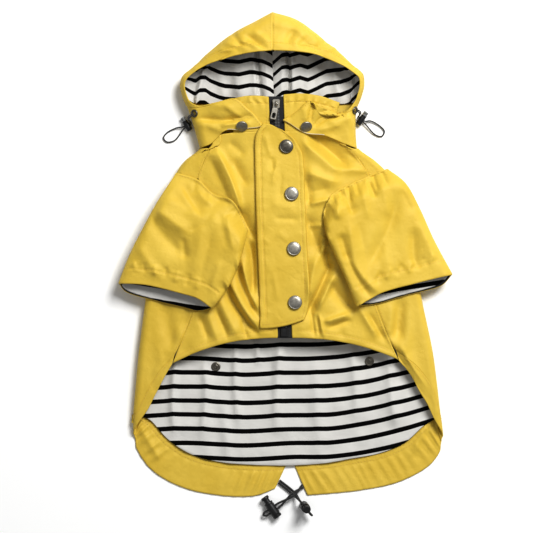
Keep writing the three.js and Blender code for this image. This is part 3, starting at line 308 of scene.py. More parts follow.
def top_base(x: Array, y: Array) -> Array:
    """Height of the coat's top layer without its creases, round the side fold to its half height."""
    side, r = np.where(x < 0, -1, 1), OUTLINE.at("radius", y)
    out = silhouette(side, y)
    a = out - np.abs(x)
    turn = r + np.sqrt(np.maximum(0, r**2 - (r - np.clip(a, 0, r)) ** 2))
    inner = np.clip((a - r) / (out - r), 0, 1)
    return np.where(a < r, turn, 2 * r + (OUTLINE.at("crest", y) - 2 * r) * smooth(inner * 1.35))


def top_height(x: Array, y: Array) -> Array:
    """Height of the outer face of the coat's top layer over (x, y)."""
    return top_base(x, y) + top_detail(x, y)


def cloth_length(side: int, x: Array, y: Array, on_top: Array) -> Array:
    """Length of cloth from the middle of the table layer out to (x, y), round the side fold if on top."""
    r = OUTLINE.at("radius", y)
    start = silhouette(side, y) - r
    a = np.abs(x) - start
    turn = np.arcsin(np.clip(a / r, 0, 1))
    flat = np.where(on_top, start + math.pi * r - a, np.abs(x))
    return np.where(a <= 0, flat, start + r * np.where(on_top, math.pi - turn, turn))


def folded(signed: Array, y: Array, inset: float = 0.0) -> Array:
    """Place of the cloth at a length from the middle line.

    Args:
        signed: length along the cloth, under 0 on the left side.
        y: place along the coat.
        inset: distance inwards, for what lies inside the shell.

    Returns:
        Points with a last axis of three.
    """
    side, length = np.where(signed < 0, -1, 1), np.abs(signed)
    r = OUTLINE.at("radius", y)
    start = silhouette(side, y) - r
    turn = (length - start) / r
    small = r - inset
    x = np.where(turn <= 0, length, start + small * np.sin(np.clip(turn, 0, math.pi)))
    z = np.where(turn <= 0, inset, r - small * np.cos(np.clip(turn, 0, math.pi)))
    over = turn >= math.pi
    x = np.where(over, start - (length - start - math.pi * r), x) * side
    return np.stack([x, y, np.where(over, top_height(x, y) - inset, z)], -1)


@dataclass
class Sheet:
    """A sheet of cloth as rows and columns of points on its outer face, in millimetres.

    cut holds where each point lies on the flat cut. A ring joins its last column to its first. flip is for
    a sheet whose rows and columns run the other way round.
    """

    points: Array
    cut: Array
    flip: bool = False
    ring: bool = False

    def normals(self) -> Array:
        """Direction out of the cloth, which is down on the floor, also where its rows run together."""
        p = self.points
        if self.ring:
            across = np.roll(p, -1, 1) - np.roll(p, 1, 1)
        else:
            across = np.gradient(p, axis=1)
        n = np.cross(across, np.gradient(p, axis=0)) * (-1 if self.flip else 1)
        n = n / np.maximum(np.linalg.norm(n, axis=-1, keepdims=True), 1e-9)
        n[(p[..., 2] < 0.5) & (n[..., 2] > -0.5)] = (0, 0, -1)
        return n

    def raised(self, height: Array) -> "Sheet":
        """The same sheet moved along its normals."""
        return Sheet(self.points + self.normals() * height[..., None], self.cut, self.flip, self.ring)

    def part(self, rows: slice, columns: slice) -> "Sheet":
        """Some rows and columns of the sheet."""
        whole = columns == slice(None)
        return Sheet(self.points[rows, columns], self.cut[rows, columns], self.flip, self.ring and whole)

    def inside(self, depth: Array) -> "Sheet":
        """The sheet that lies this deep under the outer face."""
        return self.raised(-depth * np.ones(self.points.shape[:2]))


def over_plan(x: Array, y: Array, z: Array, flip: bool, ring: bool = False) -> Sheet:
    """A sheet given as heights over a plan, which is also its cut."""
    x, y, z = np.broadcast_arrays(x, y, z)
    return Sheet(np.stack([x, y, z], -1), np.stack([x, y], -1), flip, ring)


def mesh_object(name: str, points: Array, faces: Sequence, looks: Sequence[Finish]) -> Piece:
    """A mesh object from points in millimetres of the layout frame.

    Args:
        name: the piece's name.
        points: the points.
        faces: lists of point numbers.
        looks: materials, the first on every face.

    Returns:
        The object, linked to the scene and shaded smooth.
    """
    mesh = bpy.data.meshes.new(name)
    mesh.from_pydata(((np.asarray(points) + SHIFT) * MM).tolist(), [], [list(map(int, f)) for f in faces])
    for look in looks:
        mesh.materials.append(look)
    mesh.polygons.foreach_set("use_smooth", [True] * len(mesh.polygons))
    obj = bpy.data.objects.new(name, mesh)
    bpy.context.scene.collection.objects.link(obj)
    return obj


def cloth_object(
    name: str,
    sheet: Sheet,
    near: float,
    far: float,
    looks: Sequence[Finish],
    inner: int = 0,
    swell: float = 0.5,
    lift: Optional[Array] = None,
) -> Piece:
    """A closed wall of cloth between two depths under a sheet, with a rounded edge.

    Args:
        name: the piece's name.
        sheet: its outer face.
        near: depth of the wall's outer face.
        far: depth of its inner face.
        looks: materials.
        inner: which of them is on the inner face.
        swell: how far the edge bulges, as a share of the wall.
        lift: extra depth of both faces at each point.

    Returns:
        The object, with its cut as the UV map "cut", in metres.
    """
    p, n = sheet.points, sheet.normals()
    extra = np.zeros(p.shape[:2]) if lift is None else lift
    rows, wide = p.shape[:2]
    outer = p - n * (near + extra)[..., None]
    under = p - n * (far + extra)[..., None]
    outer[..., 2], under[..., 2] = np.maximum(outer[..., 2], 0), np.maximum(under[..., 2], 0.25)
    k = np.arange(rows * wide).reshape(rows, wide)
    if sheet.ring:
        k2 = np.concatenate([k, k[:, :1]], 1)
        loops = [k[0], k[-1][::-1]]
    else:
        k2 = k
        loops = [np.concatenate([k[0, :-1], k[:-1, -1], k[-1, :0:-1], k[:0:-1, 0]])]
    a, b, c, d = k2[:-1, :-1], k2[:-1, 1:], k2[1:, 1:], k2[1:, :-1]
    size = rows * wide
    front = np.stack([a, b, c, d], -1).reshape(-1, 4)
    back = front[:, ::-1] + size
    middle = (outer + under).reshape(-1, 3) / 2
    flat = p.reshape(-1, 3)
    points, faces = [outer.reshape(-1, 3), under.reshape(-1, 3)], [front, back]
    cut = [sheet.cut.reshape(-1, 2)] * 2
    count = 2 * size
    inward = np.zeros_like(p)
    inward[0], inward[-1] = p[1] - p[0], p[-2] - p[-1]
    if not sheet.ring:
        inward[1:-1, 0], inward[1:-1, -1] = p[1:-1, 1] - p[1:-1, 0], p[1:-1, -2] - p[1:-1, -1]
    inward = inward.reshape(-1, 3)
    inward /= np.maximum(np.linalg.norm(inward, axis=-1, keepdims=True), 1e-9)
    edges = []
    for loop in loops:
        bulge = middle[loop] - inward[loop] * (far - near) * swell
        points.append(bulge)
        cut.append(sheet.cut.reshape(-1, 2)[loop])
        m = count + np.arange(len(loop))
        after, m2 = np.roll(loop, -1), np.roll(m, -1)
        edges.append(np.stack([after, loop, m, m2], -1))
        edges.append(np.stack([m2, m, loop + size, after + size], -1))
        count += len(loop)
    faces = np.concatenate(faces + edges)
    if sheet.flip:
        faces = faces[:, ::-1]
    obj = mesh_object(name, np.concatenate(points), faces, looks)
    index = np.zeros(len(faces), int)
    index[len(front) : 2 * len(front)] = inner
    obj.data.polygons.foreach_set("material_index", index.tolist())
    layer = obj.data.uv_layers.new(name="cut")
    which = np.zeros(len(obj.data.loops), int)
    obj.data.loops.foreach_get("vertex_index", which)
    layer.data.foreach_set("uv", (np.concatenate(cut)[which] * MM).ravel())
    return obj


class Paint:
    """Builds the nodes of one material."""

    def __init__(self, name: str, colour: Sequence[float], roughness: float, metallic: float = 0.0) -> None:
        """Starts a material with one shader.

        Args:
            name: the material's name.
            colour: linear red, green and blue.
            roughness: of the shader.
            metallic: of the shader.
        """
        self.material = bpy.data.materials.new(name)
        self.material.use_nodes = True
        self.material.diffuse_color = (*colour, 1)
        self.nodes, self.links = self.material.node_tree.nodes, self.material.node_tree.links
        self.shader = self.nodes["Principled BSDF"]
        self.set("Base Color", (*colour, 1))
        self.set("Roughness", roughness)
        self.set("Metallic", metallic)
        self.bump_from: Optional[Socket] = None

    def set(self, socket: str, value: object) -> None:
        """Sets a constant on the shader."""
        self.shader.inputs[socket].default_value = value

    def node(self, kind: str, inputs: Optional[dict] = None, **settings: object) -> "bpy.types.Node":
        """Adds a node.

        Args:
            kind: Blender's name for it.
            inputs: constants or sockets by input name or number.
            **settings: its properties.

        Returns:
            The node.
        """
        node = self.nodes.new(kind)
        for key, value in settings.items():
            setattr(node, key, value)
        for key, value in (inputs or {}).items():
            if isinstance(value, Socket):
                self.links.new(value, node.inputs[key])
            else:
                node.inputs[key].default_value = value
        return node

    def sum(self, operation: str, *values: object) -> Socket:
        """Result of one Math node."""
        return self.node("ShaderNodeMath", dict(enumerate(values)), operation=operation).outputs[0]

    def cut(self) -> tuple:
        """The two directions of the cloth's cut, in metres."""
        split = self.node("ShaderNodeSeparateXYZ", {0: self.node("ShaderNodeUVMap", uv_map="cut").outputs[0]})
        return split.outputs[0], split.outputs[1]

    def noise(self, scale: float, detail: float = 2.0, stretch: Sequence[float] = (1, 1, 1)) -> Socket:
        """Noise on object coordinates, from 0 to 1."""
        place = self.node("ShaderNodeTexCoord").outputs["Object"]
        place = self.node("ShaderNodeMapping", {0: place, "Scale": stretch}).outputs[0]
        return self.node("ShaderNodeTexNoise", {"Vector": place, "Scale": scale, "Detail": detail}).outputs[0]

    def wave(self, along: Socket, pitch: float, shift: float = 0.0) -> Socket:
        """Sine of a direction, from -1 to 1."""
        turned = self.sum("MULTIPLY_ADD", along, 2 * math.pi / pitch, shift)
        return self.sum("SINE", turned)

    def bump(self, height: Socket, distance: float, strength: float = 1.0) -> None:
        """Adds a relief over those already there."""
        inputs = {"Height": height, "Distance": distance, "Strength": strength}
        if self.bump_from is not None:
            inputs["Normal"] = self.bump_from
        self.bump_from = self.node("ShaderNodeBump", inputs).outputs[0]
        self.links.new(self.bump_from, self.shader.inputs["Normal"])

    def colour(self, share: Socket, low: Sequence[float], high: Sequence[float]) -> None:
        """Colours the surface between two colours."""
        blend = self.node("ShaderNodeMix", {0: share}, data_type="RGBA")
        blend.inputs[6].default_value, blend.inputs[7].default_value = (*low, 1), (*high, 1)
        self.links.new(blend.outputs[2], self.shader.inputs["Base Color"])

    def worn(self, value: Socket, low: float, high: float) -> None:
        """Lets the roughness run from low to high with a noise."""
        self.links.new(self.ranged(value, 0.3, 0.7, low, high), self.shader.inputs["Roughness"])

    def ranged(self, value: Socket, low: float, high: float, first: float, last: float) -> Socket:
        """A value brought from one range to another."""
        return self.node("ShaderNodeMapRange", {0: value, 1: low, 2: high, 3: first, 4: last}).outputs[0]


@dataclass(frozen=True)
class CoatedCloth:
    """Yellow rainwear cloth: a tight plain weave under a thin coating that crinkles."""

    name: str = "rain_cloth"
    colour: tuple = (0.62, 0.442, 0.060)
    pale: tuple = (0.67, 0.492, 0.082)
    thread: float = 0.0007

    def material(self) -> Finish:
        """Builds the finish."""
        paint = Paint(self.name, self.colour, 0.5)
        u, v = paint.cut()
        weave = paint.sum("MULTIPLY", paint.wave(u, self.thread), paint.wave(v, self.thread))
        paint.bump(weave, 0.00003)
        paint.bump(paint.noise(300, 3), 0.00015)
        for scale, height in ((38, 0.0012), (120, 0.0005)):
            paint.bump(paint.sum("ABSOLUTE", paint.sum("SUBTRACT", paint.noise(scale, 2), 0.5)), height)
        paint.colour(paint.ranged(paint.noise(22, 4), 0.35, 0.68, 0, 1), self.colour, self.pale)
        paint.worn(paint.noise(60, 3), 0.44, 0.58)
        paint.set("Specular IOR Level", 0.28)
        return paint.material


@dataclass(frozen=True)
class StripedJersey:
    """White knit with black stripes across its cut."""

    name: str = "stripe_knit"
    white: tuple = (0.64, 0.63, 0.60)
    black: tuple = (0.0015, 0.0012, 0.0012)
    repeat: float = 0.01415
    stripe: float = 0.0046

    def material(self) -> Finish:
        """Builds the finish."""
        paint = Paint(self.name, self.white, 0.85)
        u, v = paint.cut()
        ragged = paint.sum("MULTIPLY_ADD", paint.noise(900, 1), 0.0003, v)
        place = paint.sum("FRACT", paint.sum("DIVIDE", ragged, self.repeat))
        off = paint.sum("ABSOLUTE", paint.sum("SUBTRACT", place, 0.5))
        half, soft = self.stripe / self.repeat / 2, 0.012
        paint.colour(paint.ranged(off, half - soft, half + soft, 0, 1), self.black, self.white)
        knit = paint.sum("ADD", paint.wave(u, 0.0011), paint.sum("MULTIPLY", paint.wave(v, 0.0009), 0.6))
        paint.bump(knit, 0.00006)
        paint.bump(paint.noise(120, 2), 0.0005)
        paint.set("Specular IOR Level", 0.06)
        paint.set("Sheen Weight", 0.02)
        return paint.material


@dataclass(frozen=True)
class WovenTape:
    """Black twill tape, and the coil of the zip."""

    name: str = "twill_tape"
    colour: tuple = (0.010, 0.010, 0.011)
    twill: float = 0.0009

    def material(self) -> Finish:
        """Builds the finish."""
        paint = Paint(self.name, self.colour, 0.75)
        place = paint.node("ShaderNodeSeparateXYZ", {0: paint.node("ShaderNodeTexCoord").outputs["Object"]})
        slant = paint.sum("ADD", place.outputs[0], place.outputs[1])
        paint.bump(paint.wave(slant, self.twill), 0.00008)
        paint.colour(paint.noise(500, 2), self.colour, (0.022, 0.022, 0.024))
        paint.set("Sheen Weight", 0.15)
        return paint.material


@dataclass(frozen=True)
class Metal:
    """Brushed or cast metal with fine scratches."""

    name: str
    colour: tuple
    roughness: float

    def material(self) -> Finish:
        """Builds the finish."""
        paint = Paint(self.name, self.colour, self.roughness, 1.0)
        scratches = paint.noise(260, 3, (1, 9, 1))
        paint.worn(scratches, self.roughness - 0.08, self.roughness + 0.14)
        paint.bump(scratches, 0.00003)
        tarnish = paint.ranged(paint.noise(420, 3), 0.35, 0.7, 0, 1)
        paint.colour(tarnish, [c * 0.72 for c in self.colour], self.colour)
        return paint.material


@dataclass(frozen=True)
class Plastic:
    """Moulded plastic with a fine eroded surface."""

    name: str
    colour: tuple
    roughness: float

    def material(self) -> Finish:
        """Builds the finish."""
        paint = Paint(self.name, self.colour, self.roughness)
        paint.bump(paint.noise(1500, 2), 0.00003)
        paint.worn(paint.noise(300, 3), self.roughness - 0.06, self.roughness + 0.1)
        return paint.material


@dataclass(frozen=True)
class Thread:
    """Sewing thread or braided cord, with its strands turned round the "cut" map."""

    name: str
    colour: tuple
    braid: float = 0.0

    def material(self) -> Finish:
        """Builds the finish."""
        paint = Paint(self.name, self.colour, 0.7)
        if self.braid:
            u, v = paint.cut()
            left, right = paint.sum("ADD", u, v), paint.sum("SUBTRACT", u, v)
            crossing = paint.sum("MULTIPLY", paint.wave(left, self.braid), paint.wave(right, self.braid))
            paint.bump(crossing, 0.00012)
            # painted shade: the cord is painted up to 2.2 times lighter on its raised strand crossings than in
            # the grooves between them, a painted highlight on the crests and painted shade in the hollows
            paint.colour(paint.ranged(crossing, -1, 1, 0, 1), self.colour, [c * 2.2 for c in self.colour])
        else:
            paint.bump(paint.noise(2500, 1), 0.00004)
        paint.set("Sheen Weight", 0.3)
        return paint.material


@dataclass(frozen=True)
class Tabletop:
    """Plain pale surface under the coat."""

    name: str = "pale_floor"
    colour: tuple = (0.93, 0.93, 0.925)

    def material(self) -> Finish:
        """Builds the finish."""
        paint = Paint(self.name, self.colour, 0.8)
        paint.bump(paint.noise(400, 2), 0.00002)
        return paint.material


class Look(Enum):
    """Finishes of the coat, by the part that wears them."""

    SHELL = CoatedCloth()
    LINING = StripedJersey()
    TAPE = WovenTape()
    STEEL = Metal("bright_steel", (0.44, 0.42, 0.37), 0.40)
    DARK_STEEL = Metal("gunmetal", (0.20, 0.185, 0.155), 0.34)
    BLACK = Plastic("moulded_black", (0.012, 0.012, 0.013), 0.38)
    GREY = Plastic("moulded_grey", (0.20, 0.205, 0.205), 0.36)
    CORD = Thread("braided_cord", (0.010, 0.010, 0.010), 0.0012)
    SEWING = Thread("yellow_thread", (0.62, 0.42, 0.06))
    FACING = Thread("pale_facing", (0.62, 0.55, 0.42))
    FLOOR = Tabletop()

    def get(self) -> Finish:
        """The material, built once."""
        return bpy.data.materials.get(self.value.name) or self.value.material()


def place_on(obj: Piece, body: str, slot: Optional[str], *nodes: str) -> Piece:
    """Ties a finished piece to the part.

    Args:
        obj: the piece.
        body: the body that carries it.
        slot: the record's material slot; not used.
        *nodes: the solids that it stands for.

    Returns:
        The piece.
    """
    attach(obj, body)
    if nodes:
        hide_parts(*nodes)
    LOG.info("%s: %d faces", obj.name, len(obj.data.polygons))
    return obj


def turned(name: str, profile: Sequence, place: Array, axis: Array, look: Finish, sides: int = 40) -> Piece:
    """A turned piece.

    Args:
        name: the piece's name.
        profile: radius and height pairs that start and end on the axis, or close on themselves.
        place: where its foot is, in millimetres of the layout frame.
        axis: its direction.
        look: its material.
        sides: number of faces round it.

    Returns:
        The object.
    """
    profile = np.array(profile, float)
    turn = Vector((0, 0, 1)).rotation_difference(Vector(axis)).to_matrix()
    angle = np.arange(sides) * 2 * math.pi / sides
    closed = bool(np.allclose(profile[0], profile[-1]))
    ends = profile[:, 0] < 1e-6
    points, rings = [], []
    for (r, z), pole in zip(profile[:-1] if closed else profile, ends):
        if pole:
            rings.append([len(points)] * sides)
            points.append((0, 0, z))
        else:
            rings.append(list(range(len(points), len(points) + sides)))
            points.extend(zip(r * np.cos(angle), r * np.sin(angle), [z] * sides))
    if closed:
        rings.append(rings[0])
    faces = []
    for low, high in zip(rings[:-1], rings[1:]):
        for k in range(sides):
            n = (k + 1) % sides
            face = [low[k], low[n], high[n], high[k]]
            faces.append([v for m, v in enumerate(face) if v not in face[:m]])
    points = np.array(points) @ np.array(turn).T + place
    obj = mesh_object(name, points, faces, [look])
    return sharpened(obj, 50)


def sharpened(obj: Piece, degrees: float) -> Piece:
    """Shades an object smooth except over its sharper edges."""
    mesh = obj.data
    mesh.update()
    normals = {}
    for face in mesh.polygons:
        for key in face.edge_keys:
            normals.setdefault(key, []).append(face.normal.copy())
    limit = math.radians(degrees)
    for edge in mesh.edges:
        pair = normals.get(edge.key, [])
        whole = len(pair) == 2 and pair[0].length > 0 and pair[1].length > 0
        edge.use_edge_sharp = whole and pair[0].angle(pair[1]) > limit
    return obj


def tube(name: str, line: Array, radius: float, look: Finish, sides: int = 12) -> Piece:
    """A round cord along a line, closed at both ends.

    Args:
        name: the piece's name.
        line: points in millimetres of the layout frame.
        radius: in millimetres.
        look: its material.
        sides: number of faces round it.

    Returns:
        The object, with the map "cut" running round and along it.
    """
    tangent = np.gradient(line, axis=0)
    tangent /= np.linalg.norm(tangent, axis=1, keepdims=True)
    side = np.cross(tangent[0], [0, 0, 1.0])
    side = side / np.linalg.norm(side) if np.linalg.norm(side) > 1e-3 else np.array([1.0, 0, 0])
    travel = np.concatenate([[0], np.cumsum(np.linalg.norm(np.diff(line, axis=0), axis=1))])
    angle = np.arange(sides) * 2 * math.pi / sides
    points, cut = [], []
    for p, t, s in zip(line, tangent, travel):
        side = side - t * side.dot(t)
        side /= np.linalg.norm(side)
        up = np.cross(t, side)
        points.extend(p + radius * (np.cos(a) * side + np.sin(a) * up) for a in angle)
        cut.extend((a * radius, s) for a in angle)
    n, faces = len(line), []
    for j in range(n - 1):
        for k in range(sides):
            a, b = j * sides + k, j * sides + (k + 1) % sides
            faces.append([a, b, b + sides, a + sides])
    faces.append(list(range(sides))[::-1])
    faces.append([(n - 1) * sides + k for k in range(sides)])
    obj = mesh_object(name, np.array(points), faces, [look])
    layer = obj.data.uv_layers.new(name="cut")
    which = np.zeros(len(obj.data.loops), int)
    obj.data.loops.foreach_get("vertex_index", which)
    layer.data.foreach_set("uv", (np.array(cut)[which] * MM).ravel())
    return obj


class Repeat(Enum):
    """What a tree of nodes sets out along a line."""

    STITCH = "stitch"
    COIL = "coil"


def repeat_tree(kind: Repeat, look: Finish) -> Tree:
    """Nodes that lay small shapes along every line of a mesh.

    Args:
        kind: a stitch, laid along the line, or a turn of zip coil, stood across it.
        look: its material.

    Returns:
        The tree, whose inputs are Pitch, Long, Wide, Thick, Play and Seed.
    """
    tree = bpy.data.node_groups.new(kind.value + "_row", "GeometryNodeTree")
    sockets = tree.interface
    sockets.new_socket("Lines", in_out="INPUT", socket_type="NodeSocketGeometry")
    usual = {"Pitch": 0.003, "Long": 0.002, "Wide": 0.0005, "Thick": 0.0004, "Play": 0.08}
    for label, size in usual.items():
        sockets.new_socket(label, in_out="INPUT", socket_type="NodeSocketFloat").default_value = size
    sockets.new_socket("Seed", in_out="INPUT", socket_type="NodeSocketInt").default_value = 1
    sockets.new_socket("Pieces", in_out="OUTPUT", socket_type="NodeSocketGeometry")
    nodes, links = tree.nodes, tree.links
    given, out = nodes.new("NodeGroupInput"), nodes.new("NodeGroupOutput")
    curve = nodes.new("GeometryNodeMeshToCurve")
    links.new(given.outputs["Lines"], curve.inputs[0])
    even = nodes.new("GeometryNodeResampleCurve")
    even.mode = "LENGTH"
    links.new(curve.outputs[0], even.inputs["Curve"])
    links.new(given.outputs["Pitch"], even.inputs["Length"])
    if kind is Repeat.STITCH:
        shape = nodes.new("GeometryNodeMeshUVSphere")
        shape.inputs["Segments"].default_value, shape.inputs["Rings"].default_value = 6, 4
        shape.inputs["Radius"].default_value = 0.5
        shape_out = shape.outputs[0]
    else:
        path, section = (nodes.new("GeometryNodeCurvePrimitiveCircle") for _ in range(2))
        path.inputs["Resolution"].default_value, section.inputs["Resolution"].default_value = 10, 5
        path.inputs["Radius"].default_value, section.inputs["Radius"].default_value = 0.4, 0.13
        shape = nodes.new("GeometryNodeCurveToMesh")
        links.new(path.outputs[0], shape.inputs[0])
        links.new(section.outputs[0], shape.inputs[1])
        shape_out = shape.outputs[0]
    size = nodes.new("ShaderNodeCombineXYZ")
    labels = ("Long", "Wide", "Thick")
    for axis, label in enumerate(labels if kind is Repeat.STITCH else labels[::-1]):
        links.new(given.outputs[label], size.inputs[axis])
    grown = nodes.new("GeometryNodeTransform")
    if kind is Repeat.COIL:
        grown.inputs["Rotation"].default_value = (0, math.pi / 2, 0)
    links.new(shape_out, grown.inputs["Geometry"])
    links.new(size.outputs[0], grown.inputs["Scale"])
    tangent, turn = nodes.new("GeometryNodeInputTangent"), nodes.new("FunctionNodeAlignRotationToVector")
    turn.axis = "X"
    links.new(tangent.outputs[0], turn.inputs["Vector"])
    play = nodes.new("FunctionNodeRandomValue")
    low, high = nodes.new("ShaderNodeMath"), nodes.new("ShaderNodeMath")
    low.operation, high.operation = "SUBTRACT", "ADD"
    for node in (low, high):
        node.inputs[0].default_value = 1.0
        links.new(given.outputs["Play"], node.inputs[1])
    links.new(low.outputs[0], play.inputs[2])
    links.new(high.outputs[0], play.inputs[3])
    links.new(given.outputs["Seed"], play.inputs["Seed"])
    laid = nodes.new("GeometryNodeInstanceOnPoints")
    links.new(even.outputs[0], laid.inputs["Points"])
    links.new(grown.outputs[0], laid.inputs["Instance"])
    links.new(turn.outputs[0], laid.inputs["Rotation"])
    links.new(play.outputs[1], laid.inputs["Scale"])
    real, paint = nodes.new("GeometryNodeRealizeInstances"), nodes.new("GeometryNodeSetMaterial")
    paint.inputs["Material"].default_value = look
    links.new(laid.outputs[0], real.inputs[0])
    links.new(real.outputs[0], paint.inputs["Geometry"])
    links.new(paint.outputs[0], out.inputs[0])
    return tree


def set_out(name: str, lines: Sequence[Array], tree: Tree, **sizes: float) -> Piece:
    """Lays a tree's shapes along lines and makes them a plain mesh.

    Args:
        name: the piece's name.
        lines: each a row of points in millimetres of the layout frame.
        tree: from repeat_tree.
        **sizes: the tree's inputs by name.

    Returns:
        The object.
    """
    points = (np.concatenate(lines) + SHIFT) * MM
    starts = np.cumsum([0] + [len(line) for line in lines])
    edges = [(k, k + 1) for a, b in zip(starts[:-1], starts[1:]) for k in range(a, b - 1)]
    mesh = bpy.data.meshes.new(name)
    mesh.from_pydata(points.tolist(), edges, [])
    obj = bpy.data.objects.new(name, mesh)
    bpy.context.scene.collection.objects.link(obj)
    modifier = obj.modifiers.new("row", "NODES")
    modifier.node_group = tree
    for item in tree.interface.items_tree:
        if item.in_out == "INPUT" and item.name in sizes:
            modifier[item.identifier] = sizes[item.name]
    bpy.context.view_layer.update()
    made = bpy.data.meshes.new_from_object(obj.evaluated_get(bpy.context.evaluated_depsgraph_get()))
    obj.modifiers.clear()
    obj.data = made
    made.polygons.foreach_set("use_smooth", [True] * len(made.polygons))
    return obj


def fine_steps(segments: int, each: int) -> Array:
    """Places between knots, so many to each."""
    return np.linspace(0, segments, segments * each + 1)


def seam_line(
    sheet: Sheet, edge: str, inset: float, first: int = 0, last: Optional[int] = None, above: float = 0.1
) -> Array:
    """Points that run along one edge of a sheet at a distance from it.

    Args:
        sheet: the sheet.
        edge: "top", "bottom", "left" or "right", for the first or last row or column.
        inset: distance from that edge.
        first: first point along the edge.
        last: point after the last one.
        above: height over the outer face.

    Returns:
        The points.
    """
    face = sheet.points + sheet.normals() * above
    if edge in ("left", "right"):
        face = face.swapaxes(0, 1)
    if edge in ("bottom", "right"):
        face = face[::-1]
    face = face[:, first:last]
    travel = np.cumsum(np.linalg.norm(np.diff(face, axis=0), axis=-1), axis=0)
    travel = np.concatenate([np.zeros((1, face.shape[1])), travel])
    spots = range(face.shape[1])
    line = np.array([[np.interp(inset, travel[:, k], face[:, k, axis]) for axis in range(3)] for k in spots])
    line[:, 2] = np.maximum(line[:, 2], 0.3)
    return line


def area_of(sheet: Sheet) -> float:
    """Area of a sheet, in square metres."""
    p = sheet.points
    a = np.cross(p[1:, :-1] - p[:-1, :-1], p[:-1, 1:] - p[:-1, :-1])
    return float(np.linalg.norm(a, axis=-1).sum()) * MM * MM


def declare(
    obj: Piece, sheet: Sheet, rests_on: Sequence[str] = ("floor",), fullness: float = 1.0
) -> None:
    """States a sheet's flat cut, from the cloth's longest lines across and along it.

    Args:
        obj: the piece.
        sheet: the surface that it follows.
        rests_on: what it lies on; not used.
        fullness: length of the cut over the length that it is gathered to.
    """
    width, length = (np.linalg.norm(np.diff(sheet.points, axis=k), axis=-1).sum(k).max() * MM for k in (1, 0))
    width *= fullness
    area = min(max(area_of(sheet) * fullness, 0.3 * width * length), width * length)
    LOG.info("%s: cut %.0f x %.0f mm, %.5f m2", obj.name, width / MM, length / MM, area)


def shell_piece(
    node: str, sheet: Sheet, held: str, rests_on: Sequence[str] = ("floor",), **more: float
) -> None:
    """Builds, ties and states the shell cloth that stands for a solid.

    Args:
        node: the solid's name.
        sheet: its outer face.
        held: how it is held; not used.
        rests_on: what it lies on.
        **more: the wall's thickness, its lift, or the fullness of its cut.
    """
    fullness = more.pop("fullness", 1.0)
    piece = cloth_object(node + "_cloth", sheet, 0, more.pop("thick", SHELL), [Look.SHELL.get()], **more)
    place_on(piece, "coat", "shell", node)
    declare(piece, sheet, rests_on, fullness)


def jersey_piece(node: str, sheet: Sheet, rests_on: str, lift: Array) -> None:
    """Builds, ties and states the striped jersey that stands for a solid.

    Args:
        node: the solid's name.
        sheet: the shell's outer face, with its stripes' cut.
        rests_on: the piece that it lines.
        lift: how far it lies in from its place.
    """
    piece = cloth_object(node + "_jersey", sheet, LINED, LINED + LINING, [Look.LINING.get()], lift=lift)
    place_on(piece, "coat", "striped_jersey", node)
    declare(piece, sheet, [rests_on])


